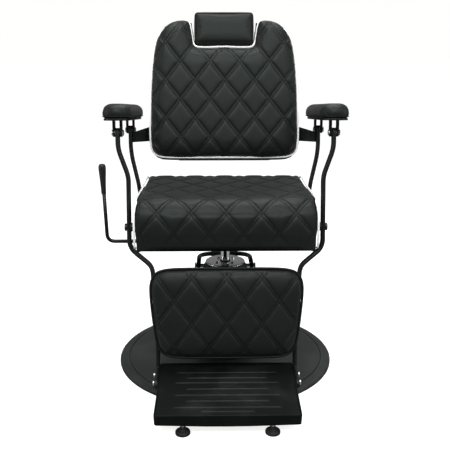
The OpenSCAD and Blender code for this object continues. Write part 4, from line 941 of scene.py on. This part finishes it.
# ---- Backrest ----
# A crowned leather cushion on a plywood board, with round shoulders, a notch for the
# headrest and white piping in its front seam. A shell closes the rear; two straps hold it.
back_lean = math.radians(11)
back_flat = Flat((0, 190, 640), (0, math.sin(back_lean), math.cos(back_lean)),
                 (0, -math.cos(back_lean), math.sin(back_lean)))
back_half = [(0, 0), (120, 0), (195, 1), (226, 6), (242, 18), (250, 38), (252.4, 70), (252.6, 115), (251.5, 170),
             (249.5, 225), (246, 285), (241, 335), (234.5, 375), (225, 405), (211, 430), (194, 447), (172, 459),
             (148, 464.5), (130, 464), (119.5, 457), (113.5, 444), (109.5, 424), (106.5, 404), (103.5, 389), (98, 378),
             (87, 372.8), (50, 372), (0, 374)]
back_loop = through(mirrored(back_half))
inner = moved_in(back_loop, 3.0)
notch = (inner[:, 1] > 376) & (np.abs(inner[:, 0]) < 118)
lower = inner - np.column_stack([np.sign(inner[:, 0]) * 9 * notch, 14 * np.clip((60 - inner[:, 1]) / 60, 0, 1)])
points, faces = stacked((lower, -35.5), (inner, 2.0))
back = stuffed("back_leather", back_flat.chair(points), faces, quilted_leather, "backrest", 5.0, 3.0, 3.2,
               held_above(back_flat, -36, 30), crowned(back_flat, inner, -35.5, 2.0, 25.0, 62.0))
laid(back, front_panel(back_flat, inner, 2.5, 6.0), 3.4)
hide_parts("back_cushion")
tuck = 7.0 * np.clip((back_loop[:, 1] - 405) / 40, 0, 1) * (np.abs(back_loop[:, 0]) > 122)
mesh_piece("back_welt", *welt_along(back_flat, moved_in(back_loop, 0.8 + tuck), 2.0 - tuck, 3.3, 14), white_vinyl,
           "backrest", "white_piping", "back_piping")
machined("back_board", plain_leather, 1.5)
machined("back_shell", plain_leather, 2.0)


def strap_form(side):
    """A flat strap of 5 mm steel: a leaning tab behind the shell, bent to run forward to the upright's tube."""
    up, across = back_flat.axes[1], np.array([side * 0.95, 0.31, 0])
    tab_end, bend, tube_end = (side * 168, 260.4, 711.7), (side * 260.5, 260.4, 711.7), (side * 301.5, 133.7, 717.0)
    stations = [(tab_end, up, back_flat.axes[2], 46), (bend, up, back_flat.axes[2] + across, 48),
                (tube_end, np.array([0, 0, 1]), across, 32)]
    section = eased([(-0.5, -2.5), (0.5, -2.5), (0.5, 2.5), (-0.5, 2.5)], 0.02, 3, True)
    points = np.concatenate([np.add(at, section[:, :1] * tall * high + section[:, 1:] * thick)
                             for at, tall, thick, high in stations])
    n, rows = len(section), len(stations)
    walls = grid_faces(rows, n, False, True).tolist()
    return points, walls + [list(range(n))[::-1], list(range((rows - 1) * n, rows * n))]


for side, word in ((-1, "left"), (1, "right")):
    mesh_piece("strap_plate_" + word, *strap_form(side), black_paint, "backrest", "black_steel", "strap_" + word)
machined("strap_screws", zinc_plate, 0.4)

# ---- Headrest ----
# A boxed leather cushion on its own board, with a fine welt round the front and the rear
# face. Its flat bar slides in a guide behind the backrest.
head_loop = eased([(-99.5, 378.5), (99.5, 378.5), (99.5, 487.5), (-99.5, 487.5)], [20, 20, 12, 12], 8, True)
head_seam = moved_in(head_loop, 6.0)
points, faces = stacked((moved_in(head_loop, 3.0), -43.5), (head_loop, -37.0), (head_loop, 0.0), (head_seam, 9.0))
head = stuffed("headrest_leather", back_flat.chair(points), faces, plain_leather, "headrest", 4.0, 1.5, 1.2,
               held_above(back_flat, -42, 30), crowned(back_flat, head_seam, -43.5, 9.0, 7.0, 34.0))
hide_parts("headrest_cushion")
seams = [welt_along(back_flat, moved_in(head_loop, inset), z, 1.4, 10) for inset, z in ((5.4, 9.4), (0.4, -37.0))]
mesh_piece("headrest_welts", *joined(*seams), black_vinyl, "headrest", "black_leather")
machined("headrest_board", black_paint, 1.0)
machined("headrest_bar", zinc_plate, 0.8)
machined("headrest_guide", black_paint, 0.8)

# ---- Armrests ----
# A long leather pad on a steel board. Two clevises under the board take the tubes of the
# lever and the upright, each on a pin with a nut.
for side, word in ((-1, "left"), (1, "right")):
    tip = math.radians(5)
    arm_flat = Flat((side * pin_x, *front_pin), (0, math.cos(tip), -math.sin(tip)), (0, math.sin(tip), math.cos(tip)))
    t = np.linspace(0, np.pi, 19)
    pad_half = np.stack([42.5 * np.cos(t), 42.5 * np.sin(t)], 1)
    pad_loop = np.concatenate([pad_half + (0, 297), -pad_half])
    points, faces = stacked((moved_in(pad_loop, 8.0), 40.0), (moved_in(pad_loop, 2.0), 45.0),
                            (pad_loop, 51.0), (pad_loop, 60.0))
    pad = stuffed("arm_leather_" + word, arm_flat.chair(points), faces, plain_leather, "arm_" + word, 4.0, 3.0, 1.6,
                  held_above(arm_flat, 41, 14), crowned(arm_flat, pad_loop, 40.0, 60.0, 21.0, 30.0))
    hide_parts("arm_pad_" + word)
    mesh_piece("arm_welt_" + word, *welt_along(arm_flat, moved_in(pad_loop, 1.0), 46.0, 1.3, 10), black_vinyl,
               "arm_" + word, "black_leather")
    machined("arm_board_" + word, black_paint, 0.8)
    machined("clevis_pins_" + word, zinc_plate, 0.5)
    machined("clevis_nuts_" + word, zinc_plate, 0.4)
